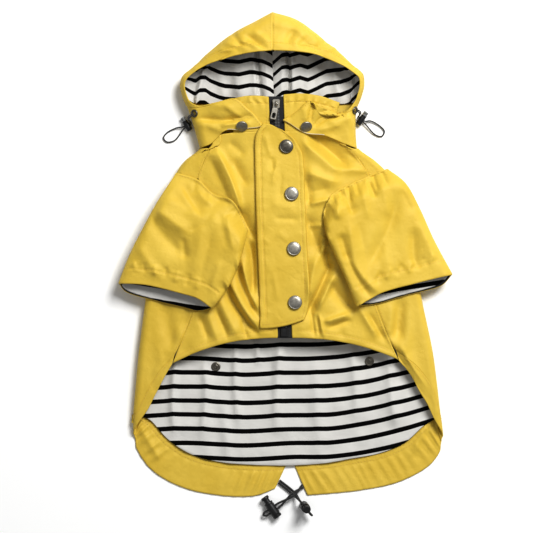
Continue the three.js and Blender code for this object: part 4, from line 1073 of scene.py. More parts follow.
@dataclass
class CoatBody:
    """Back panel with its lining, the two fronts and the gathered hem casing."""

    floor_shares: tuple = (0, 0.24, 0.45, 0.64, 0.8, 0.92, 1)
    turn_columns: int = 5
    wrap_columns: int = 2
    row_steps: int = 7
    front_steps: int = 9
    casing_steps: int = 20
    lining_columns: int = 11
    hem_fullness: float = 1.3
    stripe_start: float = 0.475
    tail: Table = Table("y left right", (
        (0, 1, 1), (-0.13, 0.994, 0.99), (-0.26, 0.979, 0.945), (-0.39, 0.945, 0.87), (-0.52, 0.867, 0.8),
        (-0.65, 0.721, 0.69), (-0.74, 0.536, 0.55), (-0.82, 0.27, 0.34), (-0.89, 0.06, 0.12),
        (-0.94, 0.02, 0.03), (-1, 0, 0),
    ))
    stitches: list = field(default_factory=list)

    @property
    def half(self) -> int:
        """Columns from the middle line to the side edge."""
        return len(self.floor_shares) - 1 + self.turn_columns + self.wrap_columns

    def rows(self) -> list:
        """Edge points of the back's rows, with y at the middle line and whether a row is the last."""
        rows = [(*r, 0) for r in (*SHOULDER, *ARMHOLE_BACK, *SIDE_SEAM)]
        for hem, floor in zip(HEM.rows, (-106, -123, -143, -168, -191)):
            rows.append((*hem[:4], floor, 0))
        return rows + [(-152.8, -160.5, 156.2, -163.5, -211.8, 1)]

    def spot(self, row: Sequence[float], side: int, k: int) -> tuple:
        """Signed length along the cloth and y of the point k columns out from the middle."""
        x, y = (row[0], row[1]) if side < 0 else (row[2], row[3])
        r = float(OUTLINE.at("radius", y))
        start = float(silhouette(side, y)) - r
        whole = start + r * math.pi / 2 if row[5] else float(cloth_length(side, x, y, True))
        total = whole - SEAM
        floor = len(self.floor_shares) - 1
        a = min(start, total - 4)
        b = min(start + math.pi * r, mix(a, total, 0.85))
        length = a * self.floor_shares[min(k, floor)]
        if k > floor:
            length = mix(a, b, (k - floor) / self.turn_columns)
        if k > floor + self.turn_columns:
            length = mix(b, total, (k - floor - self.turn_columns) / self.wrap_columns)
        if row[4] < -100:
            drop = float(self.tail.at("left" if side < 0 else "right", -length / total))
            return side * length, mix(y, row[4], drop)
        bend = min(1.0, max(0.0, (length - b) / (total - b))) ** 1.5
        return side * length, mix(row[4], y, bend)

    def back(self, each: int = 6) -> Sheet:
        """Outer face of the back panel, with that many columns in each step across."""
        spots = np.array([
            [self.spot(row, -1 if i < self.half else 1, abs(i - self.half)) for i in range(2 * self.half + 1)]
            for row in self.rows()
        ])
        fine = spline(spots, fine_steps(len(spots) - 1, self.row_steps))
        fine = spline(fine.swapaxes(0, 1), fine_steps(2 * self.half, each)).swapaxes(0, 1)
        length, y = fine[..., 0], fine[..., 1]
        return Sheet(folded(length, y), fine, flip=False)

    def make_back(self) -> None:
        """Builds the back panel, its lining and the stitching on them."""
        sheet = self.back()
        shell_piece("back_panel", sheet, "folded")
        each = self.lining_columns
        shown = slice(3 * each, (2 * self.half - 3) * each + 1)
        lined = self.back(each).part(slice(9 * self.row_steps, None), shown)
        x, y = lined.points[..., 0], lined.points[..., 1]
        ripples = folds(
            (-110, -108, -112, -176, 4, 1.3, 2), (-80, -112, -84, -180, 4, 1.5, -2),
            (-49, -92, -47, -168, 3.4, 1.4, 2), (-5, -88, -9, -170, 4.5, 1.5, 1),
            (30, -110, 34, -200, 6, 0.9), (66, -92, 70, -160, 5, 1.1, -2),
            (104, -104, 112, -170, 6, 1.4, 2), (-62, -150, -58, -205, 5, 0.8),
            (-30, -86, -26, -110, 2.4, 1.3), (88, -84, 110, -100, 4, 1.6), (-96, -92, -80, -84, 3, 1.2),
        )
        relief = creased(ripples, x, y)
        lift = 2.0 * relief + 0.9 * (rumple(x, y, 12, 8) + 1)
        for _, stud_x, stud_y in STUDS:
            lift = lift * smooth((np.hypot(x - stud_x, y - stud_y) - 5) / 9)
        rise = np.where(x > 10, 0.00125 * (x - 10) ** 2, 0.0)
        waves = 1.2 * np.sin((x + 72) / 19) * smooth((60 - x) / 60) + 0.5 * rumple(x, y, 30, 9)
        lined.cut = np.stack([x, self.stripe_start - (y - rise + waves) + 0.4 * relief], -1)
        jersey_piece("lining_back", lined, "back_panel_cloth", lift)
        for edge in ("left", "right"):
            self.stitches.append(seam_line(sheet, edge, 1.6, 8 * self.row_steps + 2, 14 * self.row_steps))
            self.stitches.append(seam_line(sheet, edge, 1.6, 1, 3 * self.row_steps))

    def make_front(self, side: int) -> None:
        """Builds one front, from the zip to the shoulder seam, armhole and side seam."""
        edges = (*SHOULDER, *ARMHOLE_FRONT, *SIDE_SEAM, *HEM_ENDS)
        pick = (0, 1) if side < 0 else (2, 3)
        table = np.array([(z, r[pick[0]], r[pick[1]]) for z, r in zip(FRONT_ZIP_Y, edges)], float)
        fine = spline(table, fine_steps(len(table) - 1, self.front_steps))[:, None]
        s = np.linspace(0, 1, 97)[None]
        zip_y, edge_x, edge_y = fine[..., 0], fine[..., 1], fine[..., 2]
        x = mix(zip_centre(zip_y) + side * ZIP_GAP / 2, edge_x - side * SEAM, s)
        y = mix(zip_y, edge_y, s**2.2)
        z = top_height(x, y)
        low = y - y[-1:]
        phase = x / 5.2 + 1.6 * rumple(x, y * 0.3, 14, 21 + side)
        pucker = np.sin(phase) * np.exp(-np.abs(low - 9) / 6) * 0.85 * smooth(low / 4)
        hem = 0.5 * smooth((6.4 - low) / 1.4) - 0.35 * bell((low - 7) / 0.9)
        welt = 0.35 * bell((1 - s) * np.abs(x) / 2.2)
        z = z + (pucker + hem) * smooth((np.abs(x) - 8) / 10) + welt
        sheet = over_plan(x, y, z, side > 0)
        shell_piece("front_l" if side < 0 else "front_r", sheet, "laid", ["zip_tape_woven"])
        self.stitches.append(seam_line(sheet, "bottom", 7, 3, 95))
        self.stitches.append(seam_line(sheet, "right", 1.6, 2, 3 * self.front_steps))
        self.stitches.append(seam_line(sheet, "right", 1.6, 11 * self.front_steps + 3, len(fine) - 2))

    def make_casing(self, side: int) -> None:
        """Builds one half of the gathered hem casing."""
        rows = self.rows()
        inner = [self.spot(row, side, self.half) for row in rows[14:]]
        inner += [self.spot(rows[-1], side, k) for k in range(self.half - 1, -1, -1)]
        inner = np.array(inner) * (side, 1)
        if side > 0:
            inner[-1, 0] = 9.5
        names = ("lx", "ly", "elx", "ely") if side < 0 else ("rx", "ry", "erx", "ery")
        x, y, ex, ey = (HEM[n] for n in names)
        top = HEM["round"] < 0.5
        stitched = np.stack([cloth_length(side, x, y, top), y], -1)
        free = np.stack([cloth_length(side, ex, ey, top), ey], -1)
        travel = np.concatenate([[0], np.cumsum(np.linalg.norm(np.diff(stitched, axis=0), axis=1))])
        inner_travel = np.concatenate([[0], np.cumsum(np.linalg.norm(np.diff(inner, axis=0), axis=1))])
        u = fine_steps(len(inner) - 1, self.casing_steps)
        a = spline(inner, u)
        done = np.interp(u, np.arange(len(inner)), inner_travel) / inner_travel[-1]
        b = spline(free, np.interp(done * travel[-1], travel, np.arange(len(travel))))
        t = np.linspace(0, 1, 25)[:, None]
        wide = np.linalg.norm(b - a, axis=1)
        share = mix((2 * SEAM / wide)[None], 1.0, t)
        spots = mix(a[None], b[None], share[..., None])
        length, y = spots[..., 0], spots[..., 1]
        s = (done * inner_travel[-1])[None] + 4.0 * (t - 0.5)
        on_table = smooth((u - 5.6) / 2.4)[None]
        strength = 0.55 + 0.45 * rumple(s, t * 0, 34, 31 + side)
        if side > 0:
            strength = strength * (0.45 + 0.75 * smooth((14.5 - u) / 5)[None])
        phase = s / 9.5 * 2 * math.pi + 2.4 * rumple(s, t * 8, 15, 33 + side)
        small = (0.5 + 0.5 * np.sin(2.3 * phase + 1)) * rumple(s, t * 9, 9, 35)
        wave = (0.5 + 0.5 * np.sin(phase)) ** 1.4 + 0.5 * small
        body = smooth(t / 0.35) * mix(1.0, 0.35, smooth((t - 0.55) / 0.45))
        near_seam = 0.45 * bell((t - 0.1) / 0.09) * np.sin(phase * 2.1)
        lift = (2.5 * wave * body * strength + near_seam * strength) * on_table
        lift = lift - 0.45 * bell((t - 0.17) / 0.03) * on_table + 0.3 * rumple(s, t * 25, 11, 37) * body
        lift = np.maximum(lift, -0.1) + 0.12 * on_table
        hollow = Crease(-147, -172, -128, -203, 4, 1.9) if side < 0 else Crease(141, -172, 128, -200, 4, 2.2)
        ground = folded(side * length, y)
        lift = lift + np.maximum(0, hollow.over(ground[..., 0], ground[..., 1])) * on_table
        sheet = Sheet(ground, np.stack([np.broadcast_to(s, y.shape), t * 28 + 0 * y], -1), flip=side > 0)
        name = "hem_casing_l" if side < 0 else "hem_casing_r"
        shell_piece(name, sheet, "gathered", lift=lift, fullness=self.hem_fullness)
        raised, turn = sheet.inside(lift), 6 * self.casing_steps
        for inset in (1.6, 5.0):
            self.stitches.append(seam_line(raised, "top", inset, turn, -2, -SHELL - 0.12))
        self.stitches.append(seam_line(raised, "top", 1.6, 4, turn))

    def make(self) -> None:
        """Builds the whole body."""
        self.make_back()
        for side in (-1, 1):
            self.make_front(side)
            self.make_casing(side)


def zip_centre(y: Array) -> Array:
    """x of the zip's middle line at y."""
    return mix(-9.5, -0.5, (157 - y) / 240)


def outline_curve(*points: Sequence[float]) -> Callable[[Array], Array]:
    """A smooth curve through points, as a function of 0 to 1."""
    knots = np.array(points, float)
    return lambda s: spline(knots, np.asarray(s, float) * (len(knots) - 1))


def patch(low: Callable, high: Callable, left: Callable, right: Callable) -> Callable[[Array, Array], Array]:
    """A surface inside four curves that meet at its corners, as a function of two shares."""

    def at(s: Array, t: Array) -> Array:
        """Point at the shares s and t."""
        s, t = np.broadcast_arrays(s, t)
        a, b = s[..., None], t[..., None]
        p = low(s) * (1 - b) + high(s) * b + left(t) * (1 - a) + right(t) * a
        zero, one = np.zeros(1), np.ones(1)
        p = p - low(zero) * (1 - a) * (1 - b) - low(one) * a * (1 - b)
        return p - high(zero) * (1 - a) * b - high(one) * a * b

    return at


@dataclass
class Sleeve:
    """A flattened sleeve that lies over the coat, with its jersey lining at the cuff."""

    side: int
    outer: tuple
    inner: tuple
    cap_top: tuple
    cap_under: tuple
    cuff_top: tuple
    cuff_under: tuple
    creases: tuple
    gathers: tuple
    puckers: tuple
    cuff: float = 16.0
    facing_rows: int = 4
    stitches: list = field(default_factory=list)

    def support(self, x: Array, y: Array) -> Array:
        """Height of what the sleeve rests on: the coat, and straight on from the top of its side fold."""
        r = OUTLINE.at("radius", y)
        a = silhouette(np.where(x < 0, -1, 1), y) - np.abs(x)
        around = ((0, 0), (4, 0), (-4, 0), (0, 4), (0, -4), (2.5, 2.5), (-2.5, 2.5), (2.5, -2.5))
        around += ((-2.5, -2.5),)
        high = np.max([top_height(x + dx, y + dy) for dx, dy in around], axis=0)
        return np.where(a < r, 2 * r - 0.1 * (r - a), high)

    @staticmethod
    def down() -> Array:
        """Places of the rows from the cap at 0 to the cuff's edge at 1."""
        cap, cuff = np.linspace(0, 0.06, 8)[:-1], np.linspace(0.94, 1, 7)[1:]
        return np.concatenate([cap, np.linspace(0.06, 0.94, 72), cuff])

    def sheet(self) -> Sheet:
        """Outer face of the sleeve as a ring."""
        left, right = outline_curve(*self.outer), outline_curve(*self.inner)
        top = patch(outline_curve(*self.cap_top), outline_curve(*self.cuff_top), left, right)
        under = patch(outline_curve(*self.cap_under), outline_curve(*self.cuff_under), left, right)
        w = np.linspace(0, 1, 115)
        upper = 0.5 - 0.5 * np.cos(math.pi * w)
        lower = (0.5 + 0.5 * np.cos(math.pi * np.linspace(0, 1, 52)))[1:-1]
        s = np.concatenate([upper, lower])[None]
        on_top = np.concatenate([np.ones(len(upper)), np.zeros(len(lower))])[None] > 0.5
        t = self.down()[:, None]
        p = np.where(on_top[..., None], top(s, t), under(s, t))
        x, y = p[..., 0], p[..., 1]
        tip = np.minimum(s, 1 - s)
        r = 0.085
        roundness = np.where(tip < r, np.sqrt(np.clip(1 - (1 - tip / r) ** 2, 0, 1)), 1.0)
        cap = 1.6 + 2.4 * (1 - smooth(tip / 0.12))
        full = 14.5 - 1.5 * smooth((t - 0.5) * 2)
        high = mix(cap, full, smooth(t * 4.2) ** 0.8)
        middle = self.support(x, y) + EASE + high / 2
        z = middle + np.where(on_top, 1, -1) * roundness * high / 2
        free = np.where(on_top, smooth((tip - 0.01) / 0.05), 0.0)
        fold = creased(self.creases, x, y) * smooth(t * 9)
        gather = creased(self.gathers, x, y) * smooth(t * 40)
        puckers = creased(self.puckers, x, y)
        left = np.linalg.norm(np.diff(p, axis=0), axis=-1)[::-1].cumsum(0)[::-1]
        left = np.concatenate([left, np.zeros_like(left[:1])])
        band = 0.5 * smooth((self.cuff - left) / 1.2) - 0.6 * bell((left - self.cuff) / 0.8)
        crinkle = np.sin(x / 1.9 + 2.4 * rumple(x, y, 12, 45)) * 0.4
        band = band + crinkle * np.exp(-np.abs(left - self.cuff - 2.5) / 3.5)
        waves = 0.6 * rumple(x, y, 26, 41 + self.side) + 0.1 * rumple(x, y, 9, 43 + self.side)
        edge = 0.5 * bell(t / 0.012)
        z = z + (fold + gather + puckers + waves * smooth(t * 8) + band + edge) * free
        return over_plan(x, y, z, self.side < 0, True)

    def make(self) -> None:
        """Builds the sleeve and its lining."""
        end = "_l" if self.side < 0 else "_r"
        sheet = self.sheet()
        sleeve = cloth_object("sleeve" + end + "_cloth", sheet, 0, SHELL, [Look.SHELL.get(), Look.TAPE.get()])
        rows, wide = sheet.points.shape[:2]
        first = (rows - 1) * wide
        for k in range(first + (rows - self.facing_rows) * wide, 2 * first):
            sleeve.data.polygons[k].material_index = 1
        place_on(sleeve, "coat", "shell", "sleeve" + end)
        declare(sleeve, sheet, ["front" + end + "_cloth", "back_panel_cloth"])
        lined = sheet.part(slice(int(np.searchsorted(self.down(), 0.67)), rows - 2), slice(None))
        place = lined.points
        v = (place[..., 1] - 0.16 * np.abs(place[..., 0])) * (1.0 if self.side > 0 else 0.9)
        lined.cut = np.stack([place[..., 0], v + (3.0 if self.side > 0 else 11.0)], -1)
        x = place[..., 0]
        lift = 0.6 * (rumple(x, place[..., 1], 9, 51) + 1) * 0.8
        jersey_piece("cuff_lining" + end, lined, "sleeve" + end + "_cloth", lift)
        self.stitches.append(seam_line(sheet, "bottom", self.cuff, 8, 107))
        self.stitches.append(seam_line(sheet, "top", 1.4, 8, 107))


@dataclass
class Hood:
    """Hood in two halves with its lining and the collars inside it."""

    floor: int = 3
    turn: int = 6
    top: int = 3
    fine: int = 16
    row_steps: int = 11
    casing: float = 8.0
    stitches: list = field(default_factory=list)
    dents: tuple = folds(
        (-39, 219, -20, 206, 2.6, -1.6, 0.6), (-45, 213, -28, 206, 2.4, 1.5), (-53, 221, -44, 208, 3, -1.3),
        (-58, 210, -38, 204, 3, 1.1), (-31, 222, -14, 210, 3, 1.2), (-66, 204, -50, 202, 2.6, 0.9),
        (9, 223, 1, 212, 2.4, -1.6, 0.5), (17, 219, 8, 209, 2.6, 1.2), (25, 217, 14, 209, 2.4, -1.1),
        (42, 213, 30, 206, 2.6, -1.3), (50, 206, 40, 203, 2.2, 0.9), (-8, 218, -9, 207, 2.2, 0.8),
        (-60, 226, -36, 228, 8, 0.8), (12, 226, 34, 214, 8, 0.8),
    )
    stripe_y: dict = field(default_factory=lambda: {-1: 167.8, 1: 162.1})
    stripe_bends: dict = field(default_factory=lambda: {
        -1: (
            (-107.5, -12.5), (-102.5, -11), (-90.5, -6.4), (-86, -10), (-80.5, -10.2), (-75.5, -6.5),
            (-66.5, -3), (-60.5, -1.4), (-46.5, 0), (-35.5, -2.4), (-27.5, -1.8), (-23.5, -1), (-15.5, 2.2),
            (-12.5, 4.5),
        ),
        1: (
            (-12.5, 7.5), (-9.5, 5), (-3.5, 0), (2.5, -1.4), (4.5, 0), (14.5, -2.6), (22.5, -0.5),
            (31.5, -4.5), (41.5, -9.5), (55.5, -11), (64.5, -14.5), (74.5, -22), (82.5, -26),
        ),
    })
    lining_folds: tuple = folds(
        (-28.5, 215, -23.6, 142, 1.9, -6.5, 1), (2.6, 215, 2.6, 142, 1.8, -6.5, -0.6),
        (-13, 205, -12, 150, 3, -1.6), (-31, 204, -29, 155, 2.6, 1.4), (7, 204, 7, 155, 2.6, 1.4),
        (-20, 200, -18, 160, 2.2, 1.0), (-3, 200, -4, 160, 2.2, 1.0),
        (-80, 196, -91, 148, 2.6, 4.0, 0, 0.4), (-50, 196, -46, 158, 6, 1.6, 2),
        (-66, 186, -62, 156, 4, 1.1), (30, 196, 34, 160, 5, 1.8, -2), (48, 190, 54, 156, 4, 1.6),
        (20, 198, 18, 162, 4, -1.2), (66, 180, 68, 154, 3, 1.8),
    )
    flap_folds: tuple = folds(
        (-84, 135.5, -36, 137.0, 2.6, -3.2, 2.5, 0.3), (-85, 129, -60, 134, 5, 1.3),
        (-78, 150, -46, 147, 5, 1.0), (-62, 129, -48, 131, 3.0, 1.5), (-60, 149, -36, 130, 3.0, 1.3),
        (30, 129, 58, 142, 2.2, -3.0, -2, 0.3), (28.5, 151, 24.5, 132, 1.8, -3.0, 1),
        (12, 148, 2, 136, 3, -1.1), (44, 131, 66, 137, 5, 1.9), (34, 146, 56, 148, 4, 1.5),
        (33, 124, 56, 130, 3.4, 1.2), (18, 146, 21, 134, 3.4, 1.2), (-76, 128, -58, 122, 3, 1.3),
    )

    def columns(self) -> Array:
        """Places of the columns, finer on the floor, where the lining's folds show."""
        floor = np.linspace(0, self.floor, self.floor * self.fine + 1)[:-1]
        return np.concatenate([floor, np.linspace(self.floor, 12, (12 - self.floor) * 9 + 1)])

    @staticmethod
    def bow(x: Array) -> Array:
        """How far the lower edges of the flaps bow up at x."""
        places, up = np.array(FLAP_BOW).T
        k = np.clip(np.searchsorted(places, x), 1, len(places) - 1)
        return mix(up[k - 1], up[k], smooth((x - places[k - 1]) / (places[k] - places[k - 1])))

    def sheet(self, side: int) -> Sheet:
        """Outer face of one half."""
        steps = fine_steps(len(HOOD.rows) - 1, self.row_steps)
        table = spline(np.array(HOOD.rows, float), steps)
        c = {name: table[:, i][:, None] for i, name in enumerate(HOOD.names.split())}
        end = "l" if side < 0 else "r"
        last = smooth(steps - len(HOOD.rows) + 2)[:, None]
        start = np.stack([c["sx"] + side * SEAM / 2, c["sy"]], -1)
        fold = np.stack([c[end + "qx"] + last * side * SEAM / 2, c[end + "qy"]], -1)
        brim = np.stack([c[end + "ex"] + last * side * SEAM / 2, c[end + "ey"]], -1)
        r = c["radius"]
        out, back = np.linalg.norm(fold - start, axis=-1), np.linalg.norm(brim - fold, axis=-1)
        finish = np.where(back < r, math.pi - np.arcsin(np.clip(1 - back / r, -1, 1)), math.pi)
        over, turn_length = np.maximum(0, back - r), r * finish
        total = turn_length + over
        bend = np.minimum(turn_length, total * 0.8)
        k = self.columns()[None]
        share = (k - self.floor - self.turn) / self.top
        beyond_bend = mix(bend, total, np.clip(share, 0, 1))
        length = np.where(share <= 0, bend * (k - self.floor) / self.turn, beyond_bend)
        on_floor = k <= self.floor
        flat = mix(start, fold, ((1 - r / out) * k / self.floor)[..., None])
        turn = np.clip(length / r, 0, math.pi)
        a = r * (1 - np.sin(turn))
        low = mix(fold, start, (a / out)[..., None])
        high = mix(fold, brim, (a / np.maximum(back, 1e-6))[..., None])
        curve = np.where((turn < math.pi / 2)[..., None], low, high)
        past = np.maximum(0, length - turn_length)
        beyond = mix(fold, brim, ((r + past) / np.maximum(back, 1e-6))[..., None])
        beyond[..., 1] += c["bow"] * self.bow(beyond[..., 0])
        top = smooth(steps - 9)[:, None]
        lain = top_base(beyond[..., 0], beyond[..., 1]) + 2.2
        roof = mix(2 * r, mix(lain, c["top"], top), smooth(mix(past / 22, past / np.maximum(over, 1), top)))
        after = length > turn_length
        xy = np.where(on_floor[..., None], flat, np.where(after[..., None], beyond, curve))
        z = np.where(on_floor, 0, np.where(after, roof, r - r * np.cos(turn)))
        x, y = xy[..., 0], xy[..., 1]
        sheet = over_plan(x, y, z, side > 0)
        upper = smooth((k - self.floor - 2.5) / 2.5)
        off_seam = smooth((len(HOOD.rows) - 1 - steps)[:, None] / 0.5)
        relief = creased(self.dents, x, y) * smooth((y - 196) / 8)
        relief = relief + creased(self.flap_folds, x, y) * smooth((158 - y) / 6)
        relief = relief + 0.5 * rumple(x, y, 17, 61 + side) + 0.22 * rumple(x, y, 7, 62)
        left = np.linalg.norm(np.diff(xy, axis=1), axis=-1)[:, ::-1].cumsum(1)[:, ::-1]
        left = np.concatenate([left, np.zeros_like(left[:, :1])], 1)
        casing = 0.35 * smooth((self.casing - left) / 1.2) - 0.45 * bell((left - self.casing) / 0.8)
        free = upper * mix(0.25, 1.0, off_seam)
        flaps = smooth((4.5 - steps) / 2)[:, None]
        return sheet.raised(relief * free + casing * upper * (1 - flaps) - 0.5 * (1 - off_seam) * upper)

    def make_half(self, side: int) -> None:
        """Builds one half and its lining."""
        end = "_l" if side < 0 else "_r"
        sheet = self.sheet(side)
        half = cloth_object("hood" + end + "_cloth", sheet, 0, SHELL, [Look.SHELL.get(), Look.FACING.get()])
        across = sheet.points.shape[1] - 1
        for k in range(2 * across):
            if self.columns()[k % across] > 10:
                half.data.polygons[k].material_index = 1
        place_on(half, "coat", "shell", "hood" + end)
        declare(half, sheet)
        shown = slice(0, int(np.searchsorted(self.columns(), 10)) + 1)
        lined = sheet.part(slice(6 * self.row_steps, None), shown)
        x, y, z = (lined.points[..., k] for k in range(3))
        places, bend = np.array(self.stripe_bends[side]).T
        stripe = self.stripe_y[side] - np.interp(x, places, bend) + 0.4 * rumple(x, y, 10, 71)
        lined.cut = np.stack([x + z, (stripe - y) * 1.12 + 7.075 - z * smooth((y - 203) / 12)], -1)
        lift = np.maximum(0, creased(self.lining_folds, x, y) + 6.0 * smooth((46 - np.abs(x + 11)) / 16))
        lift = lift + 0.3 * (rumple(x, y, 12, 73) + 1)
        jersey_piece("hood_lining" + end, lined, "hood" + end + "_cloth", lift)
        self.stitches.append(seam_line(sheet, "right", self.casing, 6 * self.row_steps, -1))
        self.stitches.append(seam_line(sheet, "right", 1.6, 2, 6 * self.row_steps))
        self.stitches.append(seam_line(sheet, "bottom", 1.6, int(np.searchsorted(self.columns(), 6)), None))

    def make_collar(self, side: int) -> None:
        """Builds the piece that carries the zip on up inside the hood's front edge."""
        if side < 0:
            at = patch(
                outline_curve((-16, 123.4), (-28, 123.3), (-40, 122.8), (-52, 121.9)),
                outline_curve((-17.2, 157.2), (-29, 158.2), (-40, 157.8), (-51, 155.8)),
                outline_curve((-16, 123.4), (-16.6, 140), (-17.2, 157.2)),
                outline_curve((-52, 121.9), (-52, 140), (-51, 155.8)),
            )
        else:
            at = patch(
                outline_curve((-0.4, 123.4), (11, 123.1), (23.5, 122.4), (35, 121.1), (44, 119.4)),
                outline_curve((-1.7, 159.4), (14.5, 160.4), (34.5, 158), (54, 151.6)),
                outline_curve((-0.4, 123.4), (-1, 140), (-1.7, 159.4)),
                outline_curve((44, 119.4), (49, 136), (54, 151.6)),
            )
        s, t = np.meshgrid(np.linspace(0, 1, 66), np.linspace(0, 1, 60))
        p = at(s, t)
        x, y = p[..., 0], p[..., 1]
        z = top_base(x, y) - 1.2 * smooth((np.abs(x) - 40) / 16)
        gather = 0.95 * np.sin(x / 1.5 + 2 * rumple(x, y, 9, 81)) * np.exp(-np.abs(t - 0.84) / 0.09)
        channel = -0.4 * bell((t - 0.8) / 0.02) + 0.3 * rumple(x, y, 11, 83)
        z = z + gather * smooth(s * 8) * 0.8 + channel
        sheet = over_plan(x, y, z, side < 0)
        shell_piece("collar_l" if side < 0 else "collar_r", sheet, "laid", ["zip_tape_woven"])
        self.stitches.append(seam_line(sheet, "bottom", 7.2, 2, 64))
        self.stitches.append(seam_line(sheet, "left", 2.4, 3, 57))

    def make(self) -> None:
        """Builds the hood."""
        for side in (-1, 1):
            self.make_half(side)
            self.make_collar(side)


def placket_height(x: Array, y: Array) -> Array:
    """Height of the placket's outer face over (x, y)."""
    detail = top_detail(x, y)
    return top_base(x, y) + np.maximum(0.25 * detail, detail) + EASE + 2.0


@dataclass
class Placket:
    """Storm flap over the zip, with its four cap snaps."""

    thick: float = 2.0
    snaps: tuple = (
        ("snap_1", 0.8, 107.8, Look.DARK_STEEL), ("snap_2", 6.1, 60.5, Look.STEEL),
        ("snap_3", 8.3, 5.8, Look.STEEL), ("snap_4", 9.5, -47.8, Look.STEEL),
    )
    stitches: list = field(default_factory=list)

    def make(self) -> None:
        """Builds the flap and its snaps."""
        steps = fine_steps(len(PLACKET_ROWS.rows) - 1, 16)
        table = spline(np.array(PLACKET_ROWS.rows, float), steps)[:, None]
        s = np.linspace(0, 1, 62)[None]
        x = mix(table[..., 0], table[..., 2], s)
        y = mix(table[..., 1], table[..., 3], s**2)
        wide = table[..., 2] - table[..., 0]
        left, right = s * wide, (1 - s) * wide
        down = np.linspace(0, 1, len(table))[:, None]
        ends = smooth(down * 14) * smooth((1 - down) * 14)
        seam = 0.55 * smooth((5.2 - left) / 1.2) * smooth(left / 1.0) - 0.5 * bell((left - 5.9) / 0.75)
        ripple = np.sin(y / 2.3 + 2.2 * rumple(x * 0.3, y, 12, 91)) * 0.28
        ripple = ripple * (np.exp(-np.abs(left - 7.5) / 2.6) + 0.8 * np.exp(-np.abs(right - 3.4) / 2.2))
        soft = folds(
            (-14, 96, -12, 84, 3, -0.9), (-9, 92, -13, 72, 2.4, 0.8), (-4, 80, -6, 58, 2.6, -0.6),
            (-10, 36, 12, 35, 3, -0.8), (-12, 50, 8, 46, 5, 0.7), (-8, 22, 2, 14, 4, 0.5),
            (-20, 118, -16, 100, 3, 0.7), (-4, 124, 4, 114, 3, -0.6), (-12, -20, -8, -44, 3, 0.5),
        )
        dimples = sum(-0.5 * np.exp(-(((x - a) ** 2 + (y - b) ** 2) / 110)) for _, a, b, _ in self.snaps)
        edge = -0.35 * bell((right - 3.4) / 0.7)
        z = placket_height(x, y) + (seam + ripple + edge + creased(soft, x, y)) * ends + dimples
        z = z + 0.25 * rumple(x, y, 13, 93)
        sheet = over_plan(x, y, z, True)
        shell_piece("placket", sheet, "laid", ["front_l_cloth", "front_r_cloth"], thick=self.thick)
        for edge, inset in (("left", 1.6), ("left", 5.9), ("right", 3.4)):
            self.stitches.append(seam_line(sheet, edge, inset, 6, -6))
        self.stitches.append(seam_line(sheet, "bottom", 3.6, 4, -4))
        for name, a, b, look in self.snaps:
            here = np.array([a, b, float(placket_height(np.array(a), np.array(b))) - 0.5])
            slot = "steel" if look is Look.STEEL else "dark_steel"
            axis = surface_normal(placket_height, a, b)
            snap(name, here + axis * 0.75, axis, 7.0, 2.6, look, slot)


def surface_normal(height: Callable, x: float, y: float) -> Array:
    """Direction out of a surface given as a height over (x, y)."""
    step = 3.0
    dx = float(height(np.array(x + step), np.array(y)) - height(np.array(x - step), np.array(y)))
    dy = float(height(np.array(x), np.array(y + step)) - height(np.array(x), np.array(y - step)))
    n = np.array([-dx, -dy, 2 * step])
    return n / np.linalg.norm(n)


def snap(node: str, place: Array, axis: Array, r: float, h: float, look: Look, slot: str) -> None:
    """Builds a cap snap: a low dome inside a fine groove and a rounded rim.

    Args:
        node: the solid that it stands for.
        place: the middle of its foot.
        axis: its direction.
        r: its radius.
        h: its height.
        look: its finish.
        slot: the record's material slot.
    """
    rim, top = h * 0.78, h
    profile = [
        (0, 0), (r - 0.5, 0), (r - 0.12, h * 0.1), (r, h * 0.28), (r - 0.05, h * 0.5), (r - 0.3, h * 0.68),
        (r - 0.7, rim),
        (r - 1.05, rim * 0.98), (r - 1.25, rim * 0.93), (r - 1.5, rim * 0.98), (r - 2.2, mix(rim, top, 0.45)),
        (r - 3.2, mix(rim, top, 0.75)), (r * 0.3, mix(rim, top, 0.96)), (0, top),
    ]
    cap = turned(node + "_cap", profile, place, axis, look.get(), 56)
    place_on(cap, "coat", slot, node)


